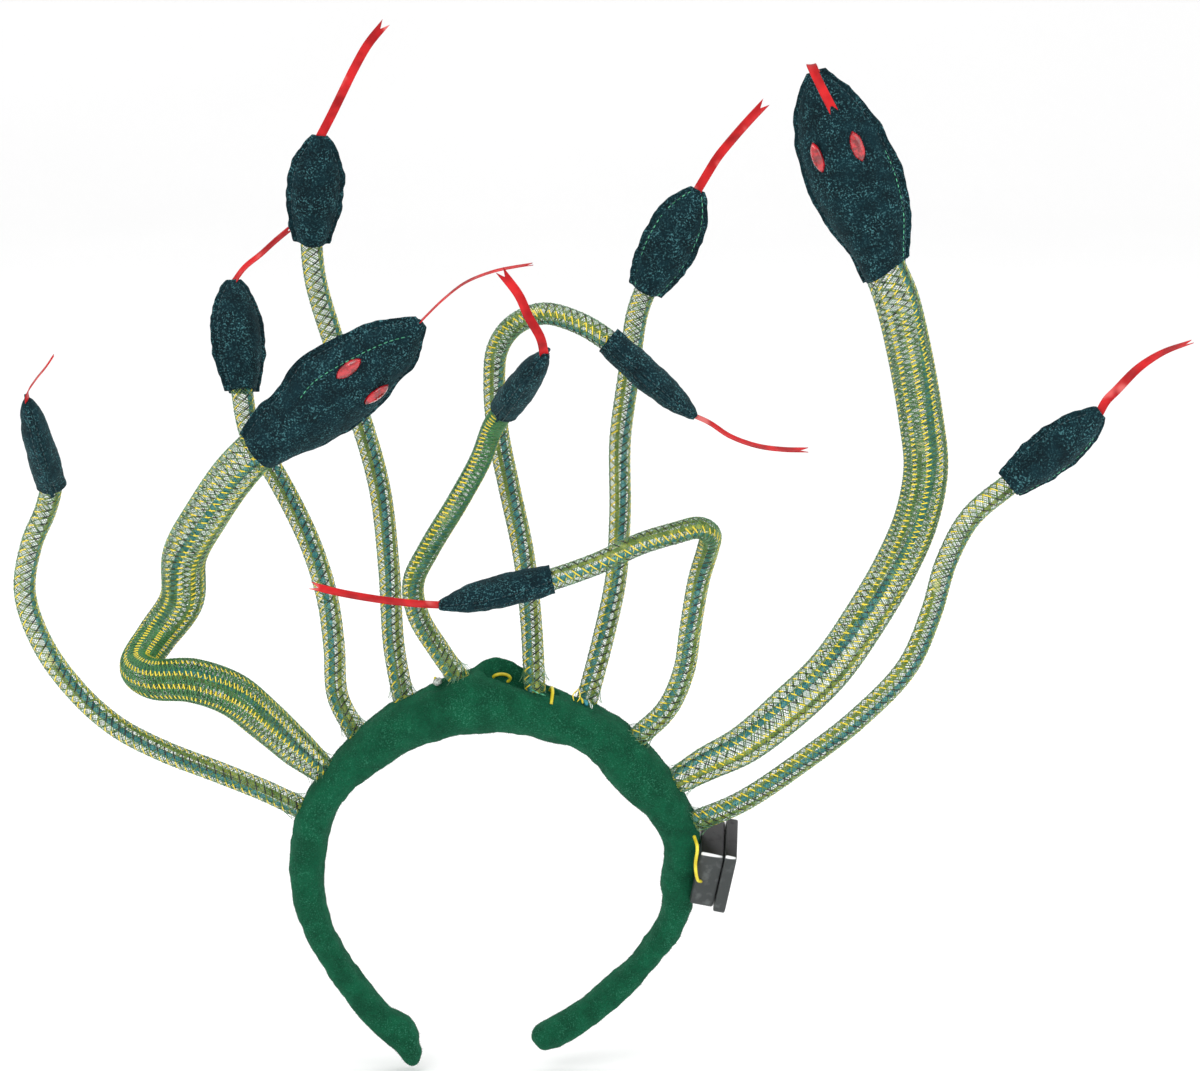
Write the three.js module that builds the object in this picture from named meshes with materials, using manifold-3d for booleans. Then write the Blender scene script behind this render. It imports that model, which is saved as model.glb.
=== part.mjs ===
// Light-up medusa headpiece: a padded felt headband that carries ten bendable snakes. Each snake is a
// hollow tube of stiff net with a lamp and its lead inside, a sewn and padded velvet head, and a ribbon
// tongue. A small battery box is sewn to the outside of the band, on the wearer's left.
// Millimetres, +Z up, the wearer looks along -Y. The origin is where the band sits on the crown of the head.

import * as THREE from 'three';
import { mergeVertices } from 'three/addons/utils/BufferGeometryUtils.js';
import Module from 'manifold-3d';

const wasm = await Module();
wasm.setup();

// Space left between neighbouring pieces
const clearance = 0.3;

// Headband: a padded roll covered in felt
const bandInnerRadius = 60;
const bandRoll = 18;
const bandDepth = 25;
const bandSides = 12;

// The power that makes the roll's section fuller than a plain oval
const rollFullness = 0.8;

// The roll's section at each turn round the band, counted in degrees from the right, over the top.
// inner is a share of bandInnerRadius, roll of bandRoll, depth of bandDepth.
const bandSections = [
  { turn: -78, inner: 0.990, roll: 0.25, depth: 0.22 },
  { turn: -75, inner: 0.960, roll: 0.54, depth: 0.42 },
  { turn: -70, inner: 0.950, roll: 0.60, depth: 0.50 },
  { turn: -56, inner: 0.925, roll: 0.57, depth: 0.52 },
  { turn: -40, inner: 0.930, roll: 0.55, depth: 0.54 },
  { turn: -25, inner: 0.975, roll: 0.53, depth: 0.60 },
  { turn: -12, inner: 1.020, roll: 0.57, depth: 0.68 },
  { turn: 0, inner: 1.000, roll: 0.72, depth: 0.76 },
  { turn: 13, inner: 1.035, roll: 0.77, depth: 0.84 },
  { turn: 25, inner: 0.990, roll: 0.88, depth: 0.92 },
  { turn: 35, inner: 0.930, roll: 1.04, depth: 0.96 },
  { turn: 46, inner: 0.930, roll: 1.01, depth: 0.96 },
  { turn: 57, inner: 0.955, roll: 0.93, depth: 0.98 },
  { turn: 69, inner: 0.925, roll: 0.95, depth: 1.00 },
  { turn: 80, inner: 0.920, roll: 1.12, depth: 1.00 },
  { turn: 90, inner: 0.920, roll: 1.28, depth: 1.00 },
  { turn: 99, inner: 0.920, roll: 1.22, depth: 1.00 },
  { turn: 110, inner: 0.930, roll: 1.05, depth: 0.98 },
  { turn: 122, inner: 0.955, roll: 0.95, depth: 0.95 },
  { turn: 135, inner: 0.970, roll: 0.87, depth: 0.90 },
  { turn: 147, inner: 1.025, roll: 0.70, depth: 0.84 },
  { turn: 160, inner: 1.040, roll: 0.73, depth: 0.80 },
  { turn: 175, inner: 1.035, roll: 0.70, depth: 0.72 },
  { turn: 190, inner: 1.035, roll: 0.63, depth: 0.64 },
  { turn: 205, inner: 1.025, roll: 0.55, depth: 0.56 },
  { turn: 220, inner: 1.020, roll: 0.55, depth: 0.52 },
  { turn: 232, inner: 1.040, roll: 0.59, depth: 0.50 },
  { turn: 240, inner: 1.045, roll: 0.66, depth: 0.53 },
  { turn: 243.5, inner: 1.080, roll: 0.66, depth: 0.52 },
  { turn: 246.5, inner: 1.140, roll: 0.56, depth: 0.42 },
  { turn: 248, inner: 1.200, roll: 0.28, depth: 0.22 },
];

// Open slit in the felt on the crown, where the leads go in
const slitLength = 22;
const slitWidth = 7;
const slitDepth = 4;
const slitTurn = 81;
const slitBack = 1.5;
const slitSegments = { round: 10, tall: 6 };

// Tubes of stiff net
const smallTubeDiameter = 8;
const largeTubeDiameter = 16;
const largeRootGirth = 0.62;
const tubeWall = 1;
const smallTubeSides = 8;
const largeTubeSides = 10;
const stationSpacing = 15;
const rootDepth = 4;
const neckDepth = 4;

// Lamp and lead inside each tube
const leadDiameter = 1.6;
const lampDiameter = 3;
const lampLength = 5;
const lampTipShare = 0.5;
const leadSides = 4;

// Padded velvet heads, with shares of the named length, width and thickness of each kind
const smallHead = { length: 41, width: 20.5, thickness: 11 };
const largeHead = { length: 75, width: 35, thickness: 18 };
const headSides = 8;
const headSections = {
  small: [
    { along: 0.00, width: 0.64, thickness: 0.96 },
    { along: 0.16, width: 0.84, thickness: 0.98 },
    { along: 0.34, width: 0.98, thickness: 1.00 },
    { along: 0.54, width: 1.00, thickness: 0.94 },
    { along: 0.74, width: 0.88, thickness: 0.78 },
    { along: 0.88, width: 0.64, thickness: 0.54 },
    { along: 0.97, width: 0.40, thickness: 0.32 },
    { along: 1.00, width: 0.27, thickness: 0.20 },
  ],
  large: [
    { along: 0.00, width: 0.55, thickness: 1.05 },
    { along: 0.12, width: 0.70, thickness: 1.04 },
    { along: 0.24, width: 0.88, thickness: 1.03 },
    { along: 0.42, width: 1.00, thickness: 1.00 },
    { along: 0.60, width: 0.96, thickness: 0.92 },
    { along: 0.75, width: 0.82, thickness: 0.76 },
    { along: 0.88, width: 0.58, thickness: 0.52 },
    { along: 0.96, width: 0.32, thickness: 0.30 },
    { along: 1.00, width: 0.17, thickness: 0.16 },
  ],
};

// Domed eyes of the two large heads
const eyeLength = 11;
const eyeWidth = 4.4;
const eyeRise = 2.2;
const eyeSpacing = 15;
const eyeAlong = 0.625;
const eyeSegments = { round: 8, tall: 6 };

// Ribbon tongues
const ribbonWidth = 3.2;
const ribbonThickness = 1;
const ribbonSeat = 1;
const forkDepth = 3.2;

// Battery box: a shallow body with a lid plate on its outer side
const boxDepth = 29;
const boxHeight = 21.5;
const boxBodyWidth = 8.6;
const boxLidWidth = 4.4;
const boxLidOverhang = 1;
const boxCorner = 2;
const boxEdge = 0.6;
const boxTurn = 4;
const boxFrontDown = 13;
const boxLean = 11;
const boxSink = 1.2;

// Thin insulated wires that show outside
const wireDiameter = 1.2;
const wireSides = 6;
const loopSides = 5;
const loopWidth = 7.5;
const loopHeight = 5.2;
const loopSteps = 12;
const loopAcross = 2.4;
const loopLean = 25;
const slitWireRoute = [
  { turn: 74.2, forward: 0.02, out: -1.00 },
  { turn: 74.0, forward: 0.26, out: 0.75 },
  { turn: 73.6, forward: 0.56, out: 0.80 },
  { turn: 73.2, forward: 0.80, out: -0.60 },
];
const batteryWireRoute = [
  { across: -0.10, up: 0.62, front: 0.40 },
  { across: 0.02, up: 0.48, front: 0.56 },
  { across: -0.06, up: 0.20, front: 0.62 },
  { across: 0.03, up: -0.05, front: 0.60 },
  { across: 0.20, up: -0.14, front: 0.46 },
];

// How far a snake and a ribbon tongue reach
const snakeReach = 200;
const tongueReach = 50;

// The snakes, from the left over the top to the right. Each leaves the band at a turn, forward or back
// from the middle of the roll, and follows its route: places from the root, as shares of its own reach,
// which is a share of snakeReach. girth is a share of the tube's diameter, 1 where it isn't given. The
// head points along its aim and its flat side looks along its face. The tongue's places go on from the
// nose in the same way, and its reach is a share of tongueReach.
const snakes = [
  {
    name: 'snake_1', size: 'small', turn: 159.5, forward: 0, reach: 0.74, lamp: 0.62,
    route: [
      { across: -0.08, up: 0.04, front: 0.00 },
      { across: -0.20, up: 0.09, front: 0.00 },
      { across: -0.33, up: 0.145, front: 0.01 },
      { across: -0.44, up: 0.205, front: 0.01 },
      { across: -0.53, up: 0.295, front: 0.03 },
      { across: -0.61, up: 0.42, front: 0.05 },
      { across: -0.65, up: 0.55, front: 0.05 },
      { across: -0.63, up: 0.67, front: 0.05 },
      { across: -0.595, up: 0.75, front: 0.06 },
      { across: -0.575, up: 0.82, front: 0.09 },
    ],
    head: {
      aim: { across: -0.12, up: 0.84, front: 0.53 },
      face: { across: -0.95, up: 0.10, front: 0.25 },
    },
    tongue: {
      reach: 0.36, face: { across: -0.8, up: 0.6, front: 0.1 },
      route: [
        { across: 0.02, up: 0.20, front: 0.12 },
        { across: 0.18, up: 0.45, front: 0.20 },
        { across: 0.40, up: 0.72, front: 0.22 },
        { across: 0.56, up: 0.95, front: 0.20 },
      ],
    },
  },
  {
    name: 'snake_2', size: 'large', turn: 147, forward: 0, reach: 0.62, lamp: 0.72,
    route: [
      { across: -0.07, up: 0.07, front: 0.03, girth: 0.85 },
      { across: -0.16, up: 0.17, front: 0.08, girth: 0.95 },
      { across: -0.25, up: 0.26, front: 0.13 },
      { across: -0.36, up: 0.31, front: 0.17 },
      { across: -0.47, up: 0.31, front: 0.15, girth: 0.92 },
      { across: -0.52, up: 0.33, front: 0.08, girth: 0.86 },
      { across: -0.475, up: 0.40, front: 0.01, girth: 0.92 },
      { across: -0.40, up: 0.51, front: 0.01 },
      { across: -0.385, up: 0.65, front: 0.05 },
      { across: -0.315, up: 0.78, front: 0.10 },
      { across: -0.235, up: 0.90, front: 0.14 },
      { across: -0.16, up: 0.985, front: 0.18, girth: 0.95 },
    ],
    head: {
      aim: { across: 0.77, up: 0.62, front: 0.13 },
      face: { across: 0.26, up: -0.34, front: 0.90 },
    },
    tongue: {
      reach: 0.86, face: { across: -0.35, up: 0.93, front: 0.1 },
      route: [
        { across: 0.20, up: 0.20, front: 0.03 },
        { across: 0.38, up: 0.34, front: 0.05 },
        { across: 0.60, up: 0.43, front: 0.06 },
        { across: 0.78, up: 0.47, front: 0.07 },
        { across: 0.92, up: 0.49, front: 0.06 },
      ],
    },
  },
  {
    name: 'snake_3', size: 'small', turn: 133, forward: -0.26, reach: 0.63, lamp: 0.88,
    route: [
      { across: -0.05, up: 0.10, front: -0.01 },
      { across: -0.06, up: 0.25, front: -0.02 },
      { across: -0.08, up: 0.39, front: -0.04 },
      { across: -0.13, up: 0.55, front: -0.05 },
      { across: -0.22, up: 0.73, front: -0.07 },
      { across: -0.29, up: 0.84, front: -0.08 },
      { across: -0.315, up: 0.975, front: -0.08 },
    ],
    head: {
      aim: { across: -0.09, up: 0.91, front: -0.38 },
      face: { across: 0.45, up: 0.00, front: 0.90 },
    },
    tongue: {
      reach: 0.58, face: { across: -0.6, up: 0.6, front: 0.5 },
      route: [
        { across: 0.14, up: 0.18, front: -0.04 },
        { across: 0.34, up: 0.34, front: -0.08 },
        { across: 0.52, up: 0.50, front: -0.12 },
        { across: 0.74, up: 0.68, front: -0.14 },
      ],
    },
  },
  {
    name: 'snake_4', size: 'small', turn: 116.5, forward: -0.34, reach: 0.825, lamp: 0.75,
    route: [
      { across: -0.02, up: 0.11, front: -0.02 },
      { across: -0.03, up: 0.28, front: -0.04 },
      { across: -0.05, up: 0.46, front: -0.05 },
      { across: -0.10, up: 0.64, front: -0.06 },
      { across: -0.15, up: 0.79, front: -0.06 },
      { across: -0.182, up: 0.91, front: -0.05 },
      { across: -0.19, up: 0.995, front: -0.05 },
    ],
    head: {
      aim: { across: 0.10, up: 0.95, front: 0.28 },
      face: { across: 0.10, up: 0.00, front: 1.00 },
    },
    tongue: {
      reach: 0.92, face: { across: 0.1, up: 0, front: 1 },
      route: [
        { across: 0.09, up: 0.17, front: 0.00 },
        { across: 0.18, up: 0.35, front: 0.01 },
        { across: 0.27, up: 0.53, front: 0.03 },
        { across: 0.38, up: 0.72, front: 0.05 },
        { across: 0.52, up: 0.89, front: 0.06 },
      ],
    },
  },
  {
    name: 'snake_5', size: 'small', turn: 100, forward: 0.16, reach: 0.52, lamp: 0.6,
    route: [
      { across: -0.06, up: 0.10, front: 0.04 },
      { across: -0.13, up: 0.23, front: 0.07 },
      { across: -0.145, up: 0.35, front: 0.09 },
      { across: -0.09, up: 0.47, front: 0.10 },
      { across: 0.01, up: 0.64, front: 0.12 },
      { across: 0.09, up: 0.79, front: 0.13 },
      { across: 0.13, up: 0.90, front: 0.15 },
      { across: 0.17, up: 0.97, front: 0.21 },
    ],
    head: {
      aim: { across: 0.36, up: 0.60, front: 0.71 },
      face: { across: 0.85, up: -0.45, front: 0.15 },
    },
    tongue: {
      reach: 0.66, face: { across: 0.2, up: 0.2, front: 1 },
      route: [
        { across: -0.04, up: 0.22, front: 0.16 },
        { across: -0.16, up: 0.44, front: 0.18 },
        { across: -0.26, up: 0.66, front: 0.16 },
        { across: -0.46, up: 0.92, front: 0.12 },
      ],
    },
  },
  {
    name: 'snake_6', size: 'small', turn: 79, forward: 0.24, reach: 0.64, lamp: 0.85,
    route: [
      { across: -0.01, up: 0.18, front: -0.02 },
      { across: -0.03, up: 0.36, front: -0.03 },
      { across: -0.07, up: 0.55, front: -0.05 },
      { across: -0.10, up: 0.70, front: -0.06 },
      { across: -0.11, up: 0.83, front: -0.06 },
      { across: -0.10, up: 0.94, front: -0.04 },
      { across: -0.05, up: 1.015, front: 0.00 },
      { across: 0.03, up: 1.05, front: 0.03 },
      { across: 0.13, up: 1.025, front: 0.05 },
      { across: 0.205, up: 0.98, front: 0.06 },
    ],
    head: {
      aim: { across: 0.75, up: -0.65, front: 0.10 },
      face: { across: 0.63, up: 0.74, front: 0.12 },
    },
    tongue: {
      reach: 0.86, face: { across: 0.2, up: 0.9, front: 0.3 },
      route: [
        { across: 0.13, up: -0.06, front: 0.01 },
        { across: 0.30, up: -0.17, front: 0.02 },
        { across: 0.52, up: -0.25, front: 0.02 },
        { across: 0.73, up: -0.28, front: 0.02 },
        { across: 0.94, up: -0.285, front: 0.02 },
      ],
    },
  },
  {
    name: 'snake_7', size: 'small', turn: 63, forward: -0.42, reach: 0.745, lamp: 0.88,
    route: [
      { across: 0.04, up: 0.15, front: -0.03 },
      { across: 0.07, up: 0.29, front: -0.06 },
      { across: 0.08, up: 0.45, front: -0.08 },
      { across: 0.08, up: 0.62, front: -0.10 },
      { across: 0.10, up: 0.78, front: -0.10 },
      { across: 0.12, up: 0.93, front: -0.09 },
      { across: 0.14, up: 0.99, front: -0.08 },
    ],
    head: {
      aim: { across: 0.45, up: 0.89, front: 0.07 },
      face: { across: 0.05, up: -0.05, front: 1.00 },
    },
    tongue: {
      reach: 0.86, face: { across: -0.1, up: 0.2, front: 1 },
      route: [
        { across: 0.08, up: 0.14, front: 0.02 },
        { across: 0.17, up: 0.29, front: 0.04 },
        { across: 0.28, up: 0.43, front: 0.05 },
        { across: 0.42, up: 0.59, front: 0.04 },
        { across: 0.57, up: 0.75, front: 0.03 },
      ],
    },
  },
  {
    name: 'snake_8', size: 'small', turn: 46, forward: 0.16, reach: 0.37, lamp: 0.85,
    route: [
      { across: 0.14, up: 0.15, front: 0.04 },
      { across: 0.22, up: 0.35, front: 0.09 },
      { across: 0.25, up: 0.57, front: 0.14 },
      { across: 0.29, up: 0.82, front: 0.16 },
      { across: 0.33, up: 0.97, front: 0.19 },
      { across: 0.34, up: 1.06, front: 0.26 },
      { across: 0.28, up: 1.11, front: 0.34 },
      { across: 0.17, up: 1.09, front: 0.37 },
      { across: 0.01, up: 1.04, front: 0.37 },
      { across: -0.20, up: 0.94, front: 0.36 },
      { across: -0.41, up: 0.86, front: 0.34 },
    ],
    head: {
      aim: { across: -0.97, up: -0.22, front: 0.06 },
      face: { across: -0.20, up: 0.95, front: 0.20 },
    },
    tongue: {
      reach: 0.92, face: { across: 0, up: 0.8, front: 0.6 },
      route: [
        { across: -0.20, up: 0.015, front: 0.01 },
        { across: -0.46, up: 0.045, front: 0.01 },
        { across: -0.76, up: 0.095, front: 0.00 },
        { across: -1.00, up: 0.15, front: -0.02 },
      ],
    },
  },
  {
    name: 'snake_9', size: 'large', turn: 29, forward: 0, reach: 1.005, lamp: 0.72,
    route: [
      { across: 0.05, up: 0.03, front: 0.00, girth: 0.78 },
      { across: 0.12, up: 0.07, front: 0.01, girth: 0.90 },
      { across: 0.20, up: 0.14, front: 0.02 },
      { across: 0.27, up: 0.21, front: 0.02 },
      { across: 0.335, up: 0.31, front: 0.03 },
      { across: 0.385, up: 0.40, front: 0.03 },
      { across: 0.42, up: 0.49, front: 0.04 },
      { across: 0.435, up: 0.58, front: 0.04 },
      { across: 0.425, up: 0.67, front: 0.04 },
      { across: 0.405, up: 0.78, front: 0.03 },
      { across: 0.38, up: 0.88, front: 0.03 },
      { across: 0.36, up: 0.93, front: 0.03, girth: 0.95 },
    ],
    head: {
      aim: { across: -0.335, up: 0.94, front: 0.07 },
      face: { across: -0.34, up: 0.00, front: 0.94 },
    },
    tongue: {
      reach: 0.36, face: { across: -0.2, up: 0.9, front: 0.1 }, tipFace: { across: 0.1, up: 0.2, front: 1 },
      route: [
        { across: -0.10, up: 0.16, front: 0.12 },
        { across: -0.14, up: 0.20, front: 0.34 },
        { across: -0.06, up: 0.02, front: 0.52 },
        { across: 0.10, up: -0.30, front: 0.58 },
        { across: 0.30, up: -0.68, front: 0.60 },
      ],
    },
  },
  {
    name: 'snake_10', size: 'small', turn: 17, forward: 0.28, reach: 0.835, lamp: 0.75,
    route: [
      { across: 0.10, up: 0.05, front: 0.02 },
      { across: 0.23, up: 0.14, front: 0.02 },
      { across: 0.35, up: 0.24, front: 0.03 },
      { across: 0.45, up: 0.35, front: 0.03 },
      { across: 0.50, up: 0.47, front: 0.03 },
      { across: 0.53, up: 0.58, front: 0.03 },
      { across: 0.58, up: 0.68, front: 0.04 },
      { across: 0.66, up: 0.75, front: 0.04 },
    ],
    head: {
      aim: { across: 0.77, up: 0.64, front: 0.05 },
      face: { across: 0.25, up: -0.30, front: 0.90 },
    },
    tongue: {
      reach: 0.84, face: { across: 0.3, up: 0.2, front: 1 }, tipFace: { across: -0.4, up: 1, front: 0.2 },
      route: [
        { across: 0.06, up: 0.12, front: 0.02 },
        { across: 0.14, up: 0.21, front: 0.04 },
        { across: 0.32, up: 0.40, front: 0.05 },
        { across: 0.52, up: 0.53, front: 0.04 },
        { across: 0.77, up: 0.62, front: 0.02 },
      ],
    },
  },
];

// Colours and surfaces
const feltFinish = { color: 0x175f41, roughness: 0.95, metalness: 0 };
const netFinish = { color: 0x4f8a4a, roughness: 0.6, metalness: 0.1 };
const velvetFinish = { color: 0x0c2a34, roughness: 0.85, metalness: 0 };
const ribbonFinish = { color: 0xe21f2a, roughness: 0.35, metalness: 0 };
const eyeFinish = { color: 0xc01020, roughness: 0.08, metalness: 0 };
const wireFinish = { color: 0xe8dc3c, roughness: 0.45, metalness: 0 };
const boxFinish = { color: 0x242527, roughness: 0.5, metalness: 0 };

// Directions and places

const radians = THREE.MathUtils.degToRad;
const lerp = THREE.MathUtils.lerp;

function toward({ across, up, front }) {
  return new THREE.Vector3(across, -front, up);
}

function bandAt(turn) {
  const after = bandSections.findIndex((section) => section.turn >= turn);
  const next = bandSections[Math.max(after, 1)];
  const last = bandSections[Math.max(after, 1) - 1];
  const share = (turn - last.turn) / (next.turn - last.turn);
  return {
    inner: bandInnerRadius * lerp(last.inner, next.inner, share),
    roll: bandRoll * lerp(last.roll, next.roll, share),
    depth: bandDepth * lerp(last.depth, next.depth, share),
  };
}

const bandCentre = new THREE.Vector3(0, 0, -bandAt(90).inner);

function bandPlace(turn, radius, back) {
  const angle = radians(turn);
  const place = new THREE.Vector3(radius * Math.cos(angle), back, radius * Math.sin(angle));
  return place.add(bandCentre);
}

function softened(value) {
  return Math.sign(value) * Math.abs(value) ** rollFullness;
}

// A place on the band's outer face, out from it by a distance. forward runs from 0, the middle of the
// roll, to 1, its front edge.
function onBand(turn, forward, out) {
  const { inner, roll, depth } = bandAt(turn);
  const sine = Math.abs(forward) ** (1 / rollFullness);
  const rise = softened(Math.sqrt(1 - sine ** 2));
  return bandPlace(turn, inner + roll * (0.5 + 0.5 * rise) + out, -0.5 * depth * forward);
}

// Meshes

// A closed skin through rings of points. An open row of rings gets flat ends, made of strips
// between opposite points, and a looped row joins its last ring to its first.
function loft(rings, looped = false) {
  const sides = rings[0].length;
  const faces = [];
  const spans = looped ? rings.length : rings.length - 1;
  for (let span = 0; span < spans; span += 1) {
    const here = span * sides;
    const there = ((span + 1) % rings.length) * sides;
    for (let side = 0; side < sides; side += 1) {
      const next = (side + 1) % sides;
      faces.push(here + side, here + next, there + next, here + side, there + next, there + side);
    }
  }
  if (!looped) {
    const end = (rings.length - 1) * sides;
    for (let side = 0; side + 1 < sides / 2; side += 1) {
      const far = sides - 1 - side;
      faces.push(side, far, far - 1, side, far - 1, side + 1);
      faces.push(end + side, end + side + 1, end + far - 1, end + side, end + far - 1, end + far);
    }
  }
  const geometry = new THREE.BufferGeometry().setFromPoints(rings.flat());
  geometry.setIndex(faces);
  return facingOut(geometry);
}

function facingOut(geometry) {
  const place = geometry.getAttribute('position');
  const faces = geometry.getIndex().array;
  const [a, b, c] = [new THREE.Vector3(), new THREE.Vector3(), new THREE.Vector3()];
  let volume = 0;
  for (let face = 0; face < faces.length; face += 3) {
    a.fromBufferAttribute(place, faces[face]);
    b.fromBufferAttribute(place, faces[face + 1]);
    c.fromBufferAttribute(place, faces[face + 2]);
    volume += a.dot(b.cross(c));
  }
  if (volume < 0) geometry.setIndex(Array.from(faces).reverse());
  return geometry;
}

function toSolid(geometry) {
  const bare = geometry.clone();
  bare.deleteAttribute('normal');
  bare.deleteAttribute('uv');
  const merged = mergeVertices(bare);
  return new wasm.Manifold(new wasm.Mesh({
    numProp: 3,
    vertProperties: new Float32Array(merged.getAttribute('position').array),
    triVerts: new Uint32Array(merged.getIndex().array),
  }));
}

function toGeometry(solid) {
  const { numProp, vertProperties, triVerts } = solid.getMesh();
  const places = new Float32Array(vertProperties.length / numProp * 3);
  for (let vertex = 0; vertex * numProp < vertProperties.length; vertex += 1) {
    places.set(vertProperties.subarray(vertex * numProp, vertex * numProp + 3), vertex * 3);
  }
  const geometry = new THREE.BufferGeometry();
  geometry.setAttribute('position', new THREE.BufferAttribute(places, 3));
  geometry.setIndex(Array.from(triVerts));
  return geometry;
}

function cut(geometry, ...tools) {
  return toGeometry(tools.reduce((solid, tool) => solid.subtract(toSolid(tool)), toSolid(geometry)));
}

function roundRing(station, radius, sides) {
  return Array.from({ length: sides }, (_, side) =>
    station.at.clone().addScaledVector(around(station, (2 * Math.PI * side) / sides), radius));
}

function around({ side, up }, angle) {
  return side.clone().multiplyScalar(Math.cos(angle)).addScaledVector(up, Math.sin(angle));
}

// Stations along a smooth curve through the places: each span of the curve is cut into steps of about
// the spacing, and each station turns its cross directions as little as it can from the last one.
function stationsAlong(places, girths, spacing) {
  const curve = new THREE.CatmullRomCurve3(places);
  const spans = places.length - 1;
  const shares = [0];
  for (let span = 0; span < spans; span += 1) {
    const steps = Math.max(1, Math.round(places[span].distanceTo(places[span + 1]) / spacing));
    for (let step = 1; step <= steps; step += 1) shares.push((span + step / steps) / spans);
  }
  let side = new THREE.Vector3(0, 1, 0);
  return shares.map((share) => {
    const ahead = curve.getTangent(share);
    side = side.clone().addScaledVector(ahead, -side.dot(ahead)).normalize();
    const span = Math.min(Math.floor(share * spans), spans - 1);
    const girth = lerp(girths[span], girths[span + 1], share * spans - span);
    return { at: curve.getPoint(share), ahead, side, up: ahead.clone().cross(side), girth };
  });
}

// The same stations, with the two ends moved out along the path
function lengthened(stations, extra) {
  const ends = stations.map((station) => ({ ...station, at: station.at.clone() }));
  ends[0].at.addScaledVector(ends[0].ahead, -extra);
  const last = ends[ends.length - 1];
  last.at.addScaledVector(last.ahead, extra);
  return ends;
}

// Headband

function bandSkin() {
  const corner = softened(Math.cos(Math.PI / bandSides));
  return loft(bandSections.map(({ turn }) => {
    const { inner, roll, depth } = bandAt(turn);
    return Array.from({ length: bandSides }, (_, side) => {
      const angle = (2 * Math.PI * (side + 0.5)) / bandSides;
      const rise = softened(Math.cos(angle)) / corner;
      const spread = softened(Math.sin(angle)) / corner;
      return bandPlace(turn, inner + roll * (0.5 + 0.5 * rise), 0.5 * depth * spread);
    });
  }));
}

function slitSpace() {
  const { inner, roll } = bandAt(slitTurn);
  const space = new THREE.SphereGeometry(1, slitSegments.round, slitSegments.tall);
  space.scale(slitLength / 2, slitWidth / 2, slitDepth);
  space.rotateY(radians(90 - slitTurn));
  const middle = bandPlace(slitTurn, inner + roll, slitBack);
  return space.translate(middle.x, middle.y, middle.z);
}

// Snakes

const kinds = {
  small: { tube: smallTubeDiameter, sides: smallTubeSides, head: smallHead, sections: headSections.small },
  large: { tube: largeTubeDiameter, sides: largeTubeSides, head: largeHead, sections: headSections.large },
};

function snakePath(snake) {
  const root = onBand(snake.turn, snake.forward, 0);
  const reach = snakeReach * snake.reach;
  const places = snake.route.map((row) => root.clone().addScaledVector(toward(row), reach));
  const girths = snake.route.map((row) => row.girth ?? 1);
  const rootGirth = snake.size === 'large' ? largeRootGirth : 1;
  const outward = places[0].clone().sub(root).normalize();
  const neck = places[places.length - 1];
  const aim = toward(snake.head.aim).normalize();
  const stations = stationsAlong(
    [
      root.clone().addScaledVector(outward, -rootDepth),
      root,
      ...places,
      neck.clone().addScaledVector(aim, neckDepth),
    ],
    [rootGirth, rootGirth, ...girths, girths[girths.length - 1]],
    stationSpacing,
  );
  return { neck, aim, stations };
}

function tubeSkin(snake, stations) {
  const { tube, sides } = kinds[snake.size];
  const outer = stations.map((station) => roundRing(station, (tube / 2) * station.girth, sides));
  const inner = stations.map((station) => roundRing(station, (tube / 2) * station.girth - tubeWall, sides));
  return loft([...outer, ...inner.reverse()], true);
}

// The room that a tube takes in its neighbours, with the clearance all round
function tubeSpace(snake, stations) {
  const { tube, sides } = kinds[snake.size];
  return loft(lengthened(stations, clearance).map((station) =>
    roundRing(station, (tube / 2) * station.girth + clearance, sides)));
}

// How far each station lies along its path
function distancesAlong(stations) {
  const distances = [0];
  stations.slice(1).forEach((station, index) => {
    distances.push(distances[index] + station.at.distanceTo(stations[index].at));
  });
  return distances;
}

function stationAt(stations, distances, distance) {
  const after = distances.findIndex((reached) => reached >= distance);
  const [last, next] = [stations[after - 1], stations[after]];
  const share = (distance - distances[after - 1]) / (distances[after] - distances[after - 1]);
  return {
    at: last.at.clone().lerp(next.at, share),
    side: last.side.clone().lerp(next.side, share),
    up: last.up.clone().lerp(next.up, share),
    girth: lerp(last.girth, next.girth, share),
  };
}

// The lead lies along the inside of the tube's wall and ends in a lamp
function lightSkin(snake, stations) {
  const { tube, sides } = kinds[snake.size];
  const distances = distancesAlong(stations);
  const lampPlace = snake.lamp * (distances[distances.length - 1] - neckDepth - lampLength);
  const ring = (station, radius) => {
    const wall = ((tube / 2) * station.girth - tubeWall) * Math.cos(Math.PI / sides);
    const lift = around(station, Math.PI / sides).multiplyScalar(wall - clearance - radius);
    return roundRing({ ...station, at: station.at.clone().add(lift) }, radius, leadSides);
  };
  const ringAt = (distance, radius) => ring(stationAt(stations, distances, distance), radius);
  const lead = stations.filter((station, index) => distances[index] < lampPlace - clearance);
  return loft([
    ...lead.map((station) => ring(station, leadDiameter / 2)),
    ringAt(lampPlace, leadDiameter / 2),
    ringAt(lampPlace + clearance, lampDiameter / 2),
    ringAt(lampPlace + lampLength * (1 - lampTipShare / 2), lampDiameter / 2),
    ringAt(lampPlace + lampLength, (lampDiameter / 2) * lampTipShare),
  ]);
}

function headFrame(snake, neck, aim) {
  const face = toward(snake.head.face);
  face.addScaledVector(aim, -face.dot(aim)).normalize();
  return { neck, aim, face, side: aim.clone().cross(face) };
}

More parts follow.
